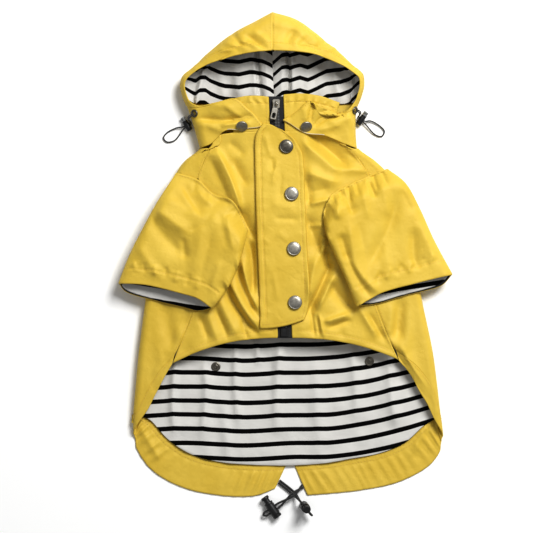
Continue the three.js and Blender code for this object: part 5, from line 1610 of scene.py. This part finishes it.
SLEEVES = (
    Sleeve(
        side=-1,
        outer=((-109.7, 81.5), (-129.4, 50.7), (-139.5, 32.5), (-156, 0), (-167.3, -28.5)),
        inner=((-37.5, 24), (-42.5, 3), (-49.4, -18), (-59.5, -37), (-72.5, -54)),
        cap_top=(
            (-109.7, 81.5), (-88.5, 74.8), (-76, 63.3), (-68, 58.4), (-58, 56), (-50.5, 49.8), (-43.8, 38),
            (-37.5, 24),
        ),
        cap_under=(
            (-109.7, 81.5), (-116.5, 64), (-112, 42), (-98.5, 21), (-77, 6), (-57, 3.5), (-46, 9), (-37.5, 24),
        ),
        cuff_top=(
            (-167.3, -28.5), (-143.5, -29.5), (-125, -33), (-106.9, -37.7), (-87.3, -43.6), (-72.5, -54),
        ),
        cuff_under=(
            (-167.3, -28.5), (-157.5, -38), (-129.5, -46), (-101.5, -52.5), (-87.5, -56), (-72.5, -54),
        ),
        creases=folds(
            (-101, 68, -84, 41, 4, -2.4, 1, 0.4), (-86, 62, -76, 51, 3.6, 2.0),
            (-112, 61, -95, 44, 5, -1.2), (-136, 40, -100, -1, 8, -2.3, 3), (-102, 15, -100, -3, 3, -1.4),
            (-129, 45, -99, 23, 7, 2.2), (-95, 24, -75, 39, 3, -0.7, 2), (-118, 76, -128, 56, 5, 1.3),
            (-66, 40, -58, 10, 5, -0.9), (-58, 38, -52, 6, 4, 1.0, 1), (-84, 30, -92, -12, 6, 0.9, -2),
            (-74, 20, -84, -22, 4, -0.8), (-146, 8, -128, -22, 5, 1.4), (-66, -8, -74, -34, 4, 1.1),
        ),
        gathers=folds(
            (-68, 54, -56, 51, 2.5, -1.0), (-77, 61, -74, 48, 2.6, 0.9), (-51, 44, -60, 38, 2.2, -0.8),
            (-90, 73, -92, 62, 2.6, -0.9),
        ),
        puckers=folds(
            (-152, -8, -149, -16, 2.4, 1.0), (-142, -9, -140, -18, 2.2, -0.9),
            (-131, -11, -130, -20, 2.6, 1.1), (-119, -13, -120, -23, 2.2, -0.9),
            (-108, -17, -110, -27, 2.6, 1.0), (-96, -20, -99, -31, 2.2, -0.8),
            (-85, -24, -89, -34, 2.4, 0.9),
        ),
    ),
    Sleeve(
        side=1,
        outer=((102.5, 85.7), (120.8, 70.5), (134.8, 45.1), (148.8, 14.2), (167.1, -19.5)),
        inner=((37.3, 37), (40.5, 19.5), (48.5, -0.5), (60.4, -26.5), (70.3, -51.8)),
        cap_top=(
            (102.5, 85.7), (84.3, 78.7), (73.1, 73.8), (63.5, 69.3), (54.8, 64.7), (46.4, 59.1), (40.2, 48),
            (37.3, 37),
        ),
        cap_under=((102.5, 85.7), (113, 67), (109, 43), (95, 21), (75, 6), (58, 3.5), (47.5, 13), (37.3, 37)),
        cuff_top=((167.1, -19.5), (143.5, -25), (120.8, -30.7), (106, -34.5), (92.7, -39.4), (70.3, -51.8)),
        cuff_under=(
            (167.1, -19.5), (155.9, -30.8), (138, -36.5), (120.8, -40.5), (92.7, -48.5), (70.3, -51.8),
        ),
        creases=folds(
            (59.5, 60, 67, 41, 4, -2.7, 0, 0.3), (50, 58, 52, 37, 4.6, 2.2), (83, 73, 89, 58, 3, -2.6),
            (112, 54, 83, -10, 7, -2.8, -3), (55, 18, 62, -4, 4.6, -2.4), (62, -3, 83, -40, 4.6, -2.6, 2),
            (63, 32, 68, -9, 4.8, 1.3), (68, -9, 91, -36, 4.6, 2.0, 2), (128, 22, 130, -12, 5, -2.2, 1),
            (76, 66, 82, 38, 4, 1.0), (96, 70, 104, 40, 5, 0.9, 1), (138, 30, 146, -2, 5, 0.9),
            (98, 30, 104, -16, 6, 0.8, 2), (116, 64, 126, 44, 5, -0.9), (74, 28, 80, -4, 4, -0.8),
        ),
        gathers=folds(
            (54, 66, 58, 50, 1.7, -1.0, 0, 0.3), (62, 70, 65, 52, 1.6, -1.2), (70, 73, 73, 60, 1.8, -0.8),
            (87, 81, 92, 64, 1.8, -1.3), (96, 84, 101, 71, 1.8, -0.9), (58.5, 67, 61, 56, 1.6, 0.7),
            (67, 71, 69, 60, 1.6, 0.6), (79, 77, 83, 64, 2.2, 0.8), (46, 60, 51, 48, 1.8, -0.9),
            (42, 53, 49, 43, 1.9, 0.6),
        ),
        puckers=folds(
            (148, 0, 143, -9, 2.2, 1.0), (138, -3, 132, -13, 2.2, -0.9), (127, -7, 122, -17, 2.4, 1.1),
            (116, -10, 111, -20, 2.2, -0.9), (105, -14, 100, -24, 2.4, 1.0), (95, -18, 91, -28, 2.2, -0.9),
        ),
    ),
)


def centripetal(points: Array, each: int) -> Array:
    """Even-looking smooth curve through points that are unevenly spaced.

    Args:
        points: the points it passes through.
        each: steps between two of them.

    Returns:
        Points along it.
    """
    p = np.asarray(points, float)
    p = np.concatenate([[2 * p[0] - p[1]], p, [2 * p[-1] - p[-2]]])
    line = []
    for a, b, c, d in zip(p[:-3], p[1:-2], p[2:-1], p[3:]):
        spans = [math.sqrt(float(np.linalg.norm(v - u))) for u, v in ((a, b), (b, c), (c, d))]
        t0, t1, t2, t3 = np.cumsum([0] + spans)
        for t in np.linspace(t1, t2, each, endpoint=False):
            ab, bc = mix(a, b, (t - t0) / (t1 - t0)), mix(b, c, (t - t1) / (t2 - t1))
            cd = mix(c, d, (t - t2) / (t3 - t2))
            first, second = mix(ab, bc, (t - t0) / (t2 - t0)), mix(bc, cd, (t - t1) / (t3 - t1))
            line.append(mix(first, second, (t - t1) / (t2 - t1)))
    return np.array(line + [p[-2]])


@dataclass(frozen=True)
class Drawcord:
    """A cord whose two strands leave the cloth, run through a lock and meet in a loop."""

    name: str
    diameter: float
    route: tuple

    def make(self) -> None:
        """Builds the cord and states it."""
        line = centripetal(self.route, 9)
        cord = tube(self.name + "_braid", line, self.diameter / 2, Look.CORD.get(), 12)
        place_on(cord, "coat", "cord", self.name)
        length = float(np.linalg.norm(np.diff(line, axis=0), axis=1).sum()) * MM
        path = [tuple((p + SHIFT) * MM) for p in line]
        LOG.info("%s: %.4f m long", self.name, length)
        path[0]


DRAWCORDS = (
    Drawcord("cord_hood_l", 1.3, (
        (-92.08, 141.64, 19.87), (-95.18, 139.41, 19.6), (-97.62, 137.68, 13.5), (-97.22, 135.28, 7.6),
        (-95.62, 132.78, 3.4), (-98.27, 131.11, 3.09), (-102.35, 128.58, 3.09), (-109.7, 127.3, 2),
        (-119, 122.6, 1.1), (-122.6, 117.4, 1.1), (-119.3, 113.4, 1.1), (-111.5, 114.8, 1.1),
        (-101.51, 127.22, 3.09), (-97.43, 129.75, 3.09), (-94.78, 131.42, 3.4), (-96.38, 133.92, 7.6),
        (-96.78, 136.32, 13.5), (-94.42, 138.19, 19.6), (-91.32, 140.42, 19.87),
    )),
    Drawcord("cord_hood_r", 1.3, (
        (70.97, 144.81, 17.18), (73.02, 144.19, 19.2), (75.26, 142.65, 13), (74.86, 140.65, 7.6),
        (73.66, 138.55, 3.4), (75.84, 136.83, 3.09), (79.77, 134.06, 3.09), (85.7, 134.4, 2),
        (95.5, 129, 1.1), (99.6, 123.8, 1.1), (96.9, 119, 1.1), (90.6, 120.4, 1.1), (78.84, 132.75, 3.09),
        (74.92, 135.52, 3.09), (72.74, 137.25, 3.4), (73.94, 139.35, 7.6), (74.34, 141.35, 13),
        (72.18, 143.01, 19.2), (70.14, 143.64, 17.18),
    )),
    Drawcord("cord_hem_l", 2.2, (
        (18.1, -234.2, 1.4), (7.63, -239.39, 6.8), (-5.51, -253.36, 4.9), (-11.66, -257.66, 4.9),
        (-16.09, -260.75, 4.9), (-19.2, -262.5, 4.6), (-21.9, -261.9, 4.4), (-21.2, -259.3, 4.6),
        (-18.26, -257.64, 4.9), (-13.84, -254.54, 4.9), (-7.69, -250.25, 4.9), (9.17, -241.61, 6.8),
        (17, -231.7, 1.4),
    )),
    Drawcord("cord_hem_r", 2.2, (
        (-6.9, -229.6, 1.4), (7.17, -241.05, 2.4), (14.56, -247.29, 9.46), (19.27, -253.01, 8.32),
        (22.67, -257.13, 7.5), (24.9, -260.4, 8.2), (26.6, -261.7, 9.6), (25.3, -260.2, 11),
        (23.12, -257.51, 11.26), (19.73, -253.39, 12.08), (15.01, -247.67, 13.22), (9.23, -239.35, 2.4),
        (-5.9, -227.1, 1.4),
    )),
)


def joined(name: str, pieces: Sequence[Piece]) -> Piece:
    """Several objects as one."""
    into = pieces[0]
    with bpy.context.temp_override(active_object=into, selected_editable_objects=list(pieces)):
        bpy.ops.object.join()
    into.name = into.data.name = name
    return into


def cut_through(obj: Piece, size: Sequence[float], place: Matrix) -> None:
    """Cuts a block out of an object.

    Args:
        obj: the object.
        size: the block's three sides, in millimetres.
        place: its place and turn, in metres.
    """
    signs = [(i, j, n) for i in (-1, 1) for j in (-1, 1) for n in (-1, 1)]
    corners = [place @ Vector([s * MM / 2 * k for s, k in zip(size, sign)]) for sign in signs]
    faces = [(0, 1, 3, 2), (4, 6, 7, 5), (0, 4, 5, 1), (2, 3, 7, 6), (0, 2, 6, 4), (1, 5, 7, 3)]
    mesh = bpy.data.meshes.new("slot_block")
    mesh.from_pydata([c[:] for c in corners], [], faces)
    block = bpy.data.objects.new("slot_block", mesh)
    bpy.context.scene.collection.objects.link(block)
    modifier = obj.modifiers.new("slot", "BOOLEAN")
    modifier.operation, modifier.solver, modifier.object = "DIFFERENCE", "EXACT", block
    bpy.context.view_layer.update()
    made = bpy.data.meshes.new_from_object(obj.evaluated_get(bpy.context.evaluated_depsgraph_get()))
    obj.modifiers.clear()
    obj.data = made
    bpy.data.objects.remove(block)
    sharpened(obj, 40)


@dataclass(frozen=True)
class CordLock:
    """A sprung barrel lock: a body with a slot across it and the plunger that pinches the cord."""

    name: str
    place: tuple
    axis: tuple
    across: tuple
    size: float
    slot_wide: float
    slot_long: float
    travel: float
    button: Look = Look.GREY

    def frame(self) -> Matrix:
        """The lock's place, with z along its axis and x through its slot, in metres."""
        z = Vector(self.axis).normalized()
        x = Vector(self.across)
        x = (x - z * x.dot(z)).normalized()
        turn = Matrix((x, z.cross(x), z)).transposed().to_4x4()
        return Matrix.Translation(Vector((np.array(self.place) + SHIFT) * MM)) @ turn

    def make(self) -> None:
        """Builds the body and the plunger."""
        z, s = np.array(Vector(self.axis).normalized()), self.size
        bore, floor = 3.05, -7.0
        wall = [(0, -8.5), (3.3, -8.5), (3.9, -8.2), (4.1, -7.6), (4.1, -6.6), (3.75, -6.2), (3.75, -5.6)]
        wall += [(4.05, -5.2), (4.1, -4.6), (4.1, 4.4), (4.05, 5.0), (3.75, 5.3), (3.75, 5.8), (4.1, 6.2)]
        wall += [(4.1, 7.1), (3.9, 7.5), (bore + 0.1, 7.5), (bore, 7.3), (bore, floor), (0, floor)]
        stem = [(0, -3.9), (2.4, -3.9), (2.7, -3.6), (2.7, 11.0), (3.3, 11.0), (3.65, 11.2), (3.7, 11.5)]
        stem += [(3.7, 12.9), (3.6, 13.35), (3.3, 13.6), (1.9, 13.6), (1.7, 13.35), (0, 13.3)]
        place = np.array(self.place)
        body = turned("toggle_" + self.name + "_barrel", np.array(wall) * s, place, z, Look.BLACK.get(), 48)
        cut_through(body, (30, self.slot_wide, self.slot_long), self.frame())
        place_on(body, "coat", "black_plastic", "toggle_" + self.name)
        name = "plunger_" + self.name
        plunger = turned(name + "_button", np.array(stem) * s, place, z, self.button.get(), 48)
        middle = self.frame() @ Matrix.Translation((0, 0, self.travel / 2 * MM))
        cut_through(plunger, (30, self.slot_wide, self.slot_long + self.travel), middle)
        place_on(plunger, name, "grey_plastic", name)


SMALL_LOCK, LARGE_LOCK = (0.68, 2.0, 3.4, 2.0), (1.1, 3.4, 7.0, 2.5, Look.BLACK)
CORD_LOCKS = (
    CordLock("hood_l", (-98.7, 129.9, 3.088), (-7.2, 11.6, 0), (-11.6, -7.2, 0), *SMALL_LOCK),
    CordLock("hood_r", (76.2, 135.6, 3.088), (7.7, 10.9, 0), (10.9, -7.7, 0), *SMALL_LOCK),
    CordLock("hem_l", (-12.75, -256.1, 4.9), (-0.573, 0.82, 0), (-0.82, -0.573, 0), *LARGE_LOCK),
    CordLock("hem_r", (19.5, -253.2, 10.2), (0.12, -0.1, 1), (0.64, -0.77, 0), *LARGE_LOCK),
)


def rounded(wide: float, long: float, corner: float, count: int = 48) -> Array:
    """Outline of a rounded rectangle round the origin.

    Args:
        wide: its side along x.
        long: its side along y.
        corner: radius of its corners.
        count: number of points.

    Returns:
        The points, anticlockwise.
    """
    quarter = np.linspace(0, math.pi / 2, count // 4)
    points = []
    for k, (sx, sy) in enumerate(((1, 1), (-1, 1), (-1, -1), (1, -1))):
        a = quarter + k * math.pi / 2
        middle = np.array([sx * (wide / 2 - corner), sy * (long / 2 - corner)])
        points.extend(middle + corner * np.stack([np.cos(a), np.sin(a)], 1))
    return np.array(points)


def plate(outline: Array, thick: float, bevel: float, hole: Optional[Array] = None) -> tuple:
    """A flat piece with bevelled edges, on the plane z = 0.

    Args:
        outline: its outline, anticlockwise, in millimetres.
        thick: its thickness.
        bevel: how far the edges are cut back.
        hole: an opening with as many points as the outline.

    Returns:
        Its points and faces.
    """
    def drawn_in(loop: Array, by: float) -> Array:
        """The loop moved towards its inside."""
        along = np.roll(loop, -1, 0) - np.roll(loop, 1, 0)
        along /= np.linalg.norm(along, axis=1, keepdims=True)
        return loop + np.stack([-along[:, 1], along[:, 0]], 1) * by

    steps = [(outline, bevel, 0), (outline, 0, bevel), (outline, 0, thick - bevel), (outline, bevel, thick)]
    if hole is not None:
        steps += [(hole, -bevel, thick), (hole, 0, thick - bevel), (hole, 0, bevel), (hole, -bevel, 0)]
    n = len(outline)
    rings = [np.column_stack([drawn_in(loop, by), np.full(n, z)]) for loop, by, z in steps]
    count, faces = len(rings), []
    for j in range(count if hole is not None else count - 1):
        for k in range(n):
            a, b = j * n + k, j * n + (k + 1) % n
            c = (j + 1) % count * n
            faces.append([a, b, c + (k + 1) % n, c + k])
    if hole is None:
        faces.append(list(range(n))[::-1])
        faces.append([(count - 1) * n + k for k in range(n)])
    return np.concatenate(rings), faces


def placed_plate(name: str, look: Look, turn: Array, place: Array, *args: object, **words: object) -> Piece:
    """A plate turned by a 3 x 3 matrix and set at a place."""
    points, faces = plate(*args, **words)
    return sharpened(mesh_object(name, points @ turn.T + place, faces, [look.get()]), 30)


def tape_height(y: Array) -> Array:
    """Height of the zip tape's outer face at y."""
    return top_base(np.zeros(np.shape(y)), y) - SHELL - SEAM


@dataclass
class Zip:
    """Zip under the placket: tape, coil, slider with its pull tab, and the bottom box."""

    top: float = 157.5
    foot: float = -83.0
    slider_y: float = 150.5
    coil_pitch: float = 1.5

    def strip(self, width: float, lift: float, top: float, foot: float, waves: float) -> Sheet:
        """A strip that follows the zip."""
        y, s = np.linspace(top, foot, 240)[:, None], np.linspace(-0.5, 0.5, 15)[None]
        x = zip_centre(y) + s * width
        z = tape_height(y) + lift + waves * rumple(x, y, 9, 95) * np.abs(s * 2)
        return over_plan(x, y, z, True)

    def make_slider(self) -> None:
        """Builds the slider: two shield-shaped plates, the neck between them and the bridge."""
        x, z = float(zip_centre(self.slider_y)), float(tape_height(np.array(self.slider_y))) + SEAM
        shield = rounded(7.6, 9.4, 1.8)
        shield[:, 0] *= 0.84 + 0.16 * smooth((shield[:, 1] + 3.5) / 5)
        still, here = np.eye(3), np.array([x, self.slider_y, z])
        neck = rounded(2.0, 3.4, 0.9) + (0, 2.6)
        parts = [
            placed_plate("slider_low", Look.STEEL, still, here, shield, 0.9, 0.25),
            placed_plate("slider_neck", Look.STEEL, still, here + (0, 0, 0.7), neck, 1.8, 0.1),
            placed_plate("slider_high", Look.STEEL, still, here + (0, 0, 2.3), shield, 0.9, 0.3),
        ]
        for side in (-1, 1):
            rail = rounded(0.8, 6.2, 0.35) + (side * 3.15, -0.9)
            parts.append(placed_plate("slider_rail", Look.STEEL, still, here + (0, 0, 0.75), rail, 1.1, 0.1))
            parts.append(placed_plate("slider_rail", Look.STEEL, still, here + (0, 0, 1.95), rail, 0.5, 0.1))
        half = [(0, 2.4, 3.0), (0, 2.3, 4.6), (0, 1.5, 5.6)]
        arch = np.array([*half, (0, 0, 5.9), *((0, -b, c) for _, b, c in half[::-1])])
        parts.append(tube("slider_bridge", centripetal(arch, 5) + here, 0.6, Look.STEEL.get(), 12))
        place_on(joined("zip_slider_body", parts), "coat", "dark_steel", "zip_slider")

    def make_pull(self) -> None:
        """Builds the pull tab, hung on the bridge."""
        x, z = float(zip_centre(self.slider_y)), float(tape_height(np.array(self.slider_y))) + SEAM
        turn = Matrix.Rotation(math.radians(-12), 3, "Z") @ Matrix.Rotation(math.radians(-2), 3, "X")
        turn, here = np.array(turn), np.array([x, self.slider_y, z + 4.05])
        window = rounded(2.9, 5.0, 1.2)
        tab = rounded(6.4, 12.2, 1.5)
        tab[:, 0] *= 1 - 0.12 * smooth((tab[:, 1]) / 6)
        low = np.array([0, -10.0, -0.55])
        place = here + turn @ low
        parts = [placed_plate("pull_tab", Look.STEEL, turn, place, tab, 1.1, 0.3, hole=window + (0, -2.0))]
        for side in (-1, 1):
            arm = rounded(1.1, 4.8, 0.4)
            place = here + turn @ np.array([side * 2.2, -2.0, -0.5])
            parts.append(placed_plate("pull_arm", Look.STEEL, turn, place, arm, 1.0, 0.2))
        bar = np.array([(-2.5, 0, 0), (-1.2, 0, 0), (0, 0, 0), (1.2, 0, 0), (2.5, 0, 0)]) @ turn.T + here
        parts.append(tube("pull_bar", bar, 0.6, Look.STEEL.get(), 14))
        place_on(joined("zip_pull_tab", parts), "zip_pull", "steel", "zip_pull")

    def make(self) -> None:
        """Builds the whole zip."""
        tape_sheet = self.strip(ZIP_GAP + 6, 0, self.top, self.foot, 0.25)
        tape = cloth_object("zip_tape_woven", tape_sheet, 0, 1.0, [Look.TAPE.get()])
        place_on(tape, "coat", "black_tape", "zip_tape")
        declare(tape, tape_sheet, ["back_panel_cloth"])
        high, low = self.slider_y - 5.2, self.foot + 10.5
        core = cloth_object("coil_core", self.strip(3.4, SEAM + 0.9, high, low, 0), 0, 0.8, [Look.TAPE.get()])
        y = np.linspace(high, low, 260)
        z = tape_height(y) + SEAM + 0.7
        lines = [np.stack([zip_centre(y) + side * 1.4, y, z], 1) for side in (-1, 1)]
        coil = set_out(
            "coil_turns", lines, repeat_tree(Repeat.COIL, Look.GREY.get()),
            Pitch=self.coil_pitch * MM, Long=1.9 * MM, Wide=2.6 * MM, Thick=1.35 * MM, Play=0.0, Seed=2,
        )
        coil.data.uv_layers.new(name="cut")
        place_on(joined("zip_coil", [core, coil]), "coat", "black_tape", "zip_chain")
        self.make_slider()
        self.make_pull()
        middle = self.foot + 5.2
        here = np.array([float(zip_centre(middle)), middle, float(tape_height(np.array(middle))) + SEAM])
        parts = [placed_plate("box_block", Look.BLACK, np.eye(3), here, rounded(8, 8.6, 1.4), 2.2, 0.4)]
        for side in (-1, 1):
            rib = rounded(1.0, 6.4, 0.45) + (side * 2.2, 0)
            parts.append(placed_plate("box_rib", Look.BLACK, np.eye(3), here + (0, 0, 2.1), rib, 0.5, 0.15))
        place_on(joined("zip_bottom_box", parts), "coat", "black_plastic", "zip_box")


@dataclass
class Hardware:
    """Snaps on the hood's flaps, studs on the lining, and the eyelets that the hood cords leave by."""

    eyelets: tuple = (
        ("eyelet_l", (-91.012, 141.203, 18.66), (-0.493, -0.124, 0.861)),
        ("eyelet_r", (69.443, 144.491, 16.373), (0.795, -0.191, 0.576)),
    )
    flap_snaps: tuple = (("flap_snap_l", -43.5, 129), ("flap_snap_r", 20.5, 128.5))
    flap_tilt: tuple = (0.1, -0.6, 0.0)

    def make(self) -> None:
        """Builds them."""
        for name, place, axis in self.eyelets:
            ring = [(2.1, 0.3), (2.3, 0.05), (3.7, 0), (4.0, 0.15), (3.95, 0.5), (3.5, 0.95)]
            ring += [(2.9, 1.1), (2.35, 0.95), (2.1, 0.7), (2.1, 0.3)]
            here = np.array(place) + np.array(axis) * SEAM
            eyelet = turned(name + "_ring", ring, here, np.array(axis), Look.DARK_STEEL.get(), 40)
            place_on(eyelet, "coat", "dark_steel", name)
        for name, x, y in self.flap_snaps:
            here = np.array([x, y, float(top_base(np.array(x), np.array(y))) + 2.2])
            axis = surface_normal(top_base, x, y) + np.array(self.flap_tilt)
            axis /= np.linalg.norm(axis)
            snap(name, here + axis * 1.3, axis, 5.8, 2.2, Look.STEEL, "dark_steel")
        for name, x, y in STUDS:
            here = np.array([x, y, LINED + LINING])
            stud = [
                (0, 0), (4.2, 0), (4.55, 0.2), (4.6, 0.55), (4.2, 0.9), (3.2, 0.95), (2.6, 0.75),
                (2.2, 0.8), (2.05, 1.1), (2.1, 1.6), (1.8, 1.8), (1.3, 1.75), (1.1, 1.2), (0, 1.15),
            ]
            up = np.array([0, 0, 1.0])
            piece = turned(name + "_post", stud, here + 0.3 * up, up, Look.DARK_STEEL.get(), 40)
            place_on(piece, "coat", "dark_steel", name)


@dataclass(frozen=True)
class Studio:
    """Floor, soft lights and the camera, straight above the coat as in the photograph."""

    centre: tuple = (-19.0, -12.0)
    across: float = 533.0
    distance: float = 3000.0
    sensor: float = 36.0
    key: float = 76.0
    fill: float = 6.0
    world: float = 0.30
    gamma: float = 0.8
    exposure: float = 0.02

    def light(self, name: str, place: Sequence[float], size: float, power: float) -> None:
        """Adds a soft square light aimed at the coat, all in metres."""
        data = bpy.data.lights.new(name, "AREA")
        data.size, data.energy = size, power
        lamp = bpy.data.objects.new(name, data)
        lamp.location = place
        lamp.rotation_euler = (-Vector(place)).to_track_quat("-Z", "Y").to_euler()
        bpy.context.scene.collection.objects.link(lamp)

    def make(self) -> None:
        """Builds the studio."""
        x, y = (np.array(self.centre) + SHIFT[:2]) * MM
        data = bpy.data.cameras.new("above")
        data.sensor_width, data.lens = self.sensor, self.sensor * self.distance / self.across
        data.clip_start, data.clip_end = 0.1, 20
        camera = bpy.data.objects.new("above", data)
        camera.location = (x, y, (self.distance + 20) * MM)
        bpy.context.scene.collection.objects.link(camera)
        bpy.context.scene.camera = camera
        self.light("key", (0.9, 1.3, 1.9), 1.0, self.key)
        self.light("fill", (-1.8, -0.4, 2.4), 2.0, self.fill)
        world = bpy.data.worlds.new("studio")
        world.use_nodes = True
        world.node_tree.nodes["Background"].inputs[0].default_value = (1, 1, 1, 1)
        world.node_tree.nodes["Background"].inputs[1].default_value = self.world
        bpy.context.scene.world = world
        view = bpy.context.scene.view_settings
        view.view_transform, view.gamma, view.exposure = "Standard", self.gamma, self.exposure
        half, z = 4000.0, -0.35
        corners = [(-half, -half, z), (half, -half, z), (half, half, z), (-half, half, z)]
        floor = mesh_object("floor", corners, [(0, 1, 2, 3)], [Look.FLOOR.get()])


def sew(lines: Sequence[Array]) -> None:
    """Lays the rows of stitches on the shell."""
    tree = repeat_tree(Repeat.STITCH, Look.SEWING.get())
    sizes = {"Pitch": 3.0 * MM, "Long": 2.2 * MM, "Wide": 0.5 * MM, "Thick": 0.4 * MM, "Play": 0.1, "Seed": 5}
    seams = set_out("shell_stitches", lines, tree, **sizes)
    place_on(seams, "coat", None)


def main() -> None:
    """Builds the scene."""
    logging.basicConfig(level=logging.INFO, format="%(message)s")
    Studio().make()
    for cord in DRAWCORDS:
        cord.make()
    for lock in CORD_LOCKS:
        lock.make()
    body, hood, placket = CoatBody(), Hood(), Placket()
    for part in (body, *SLEEVES, hood, placket, Zip(), Hardware()):
        part.make()
    sew([line for part in (body, *SLEEVES, hood, placket) for line in part.stitches])


if __name__ == "__main__":
    main()
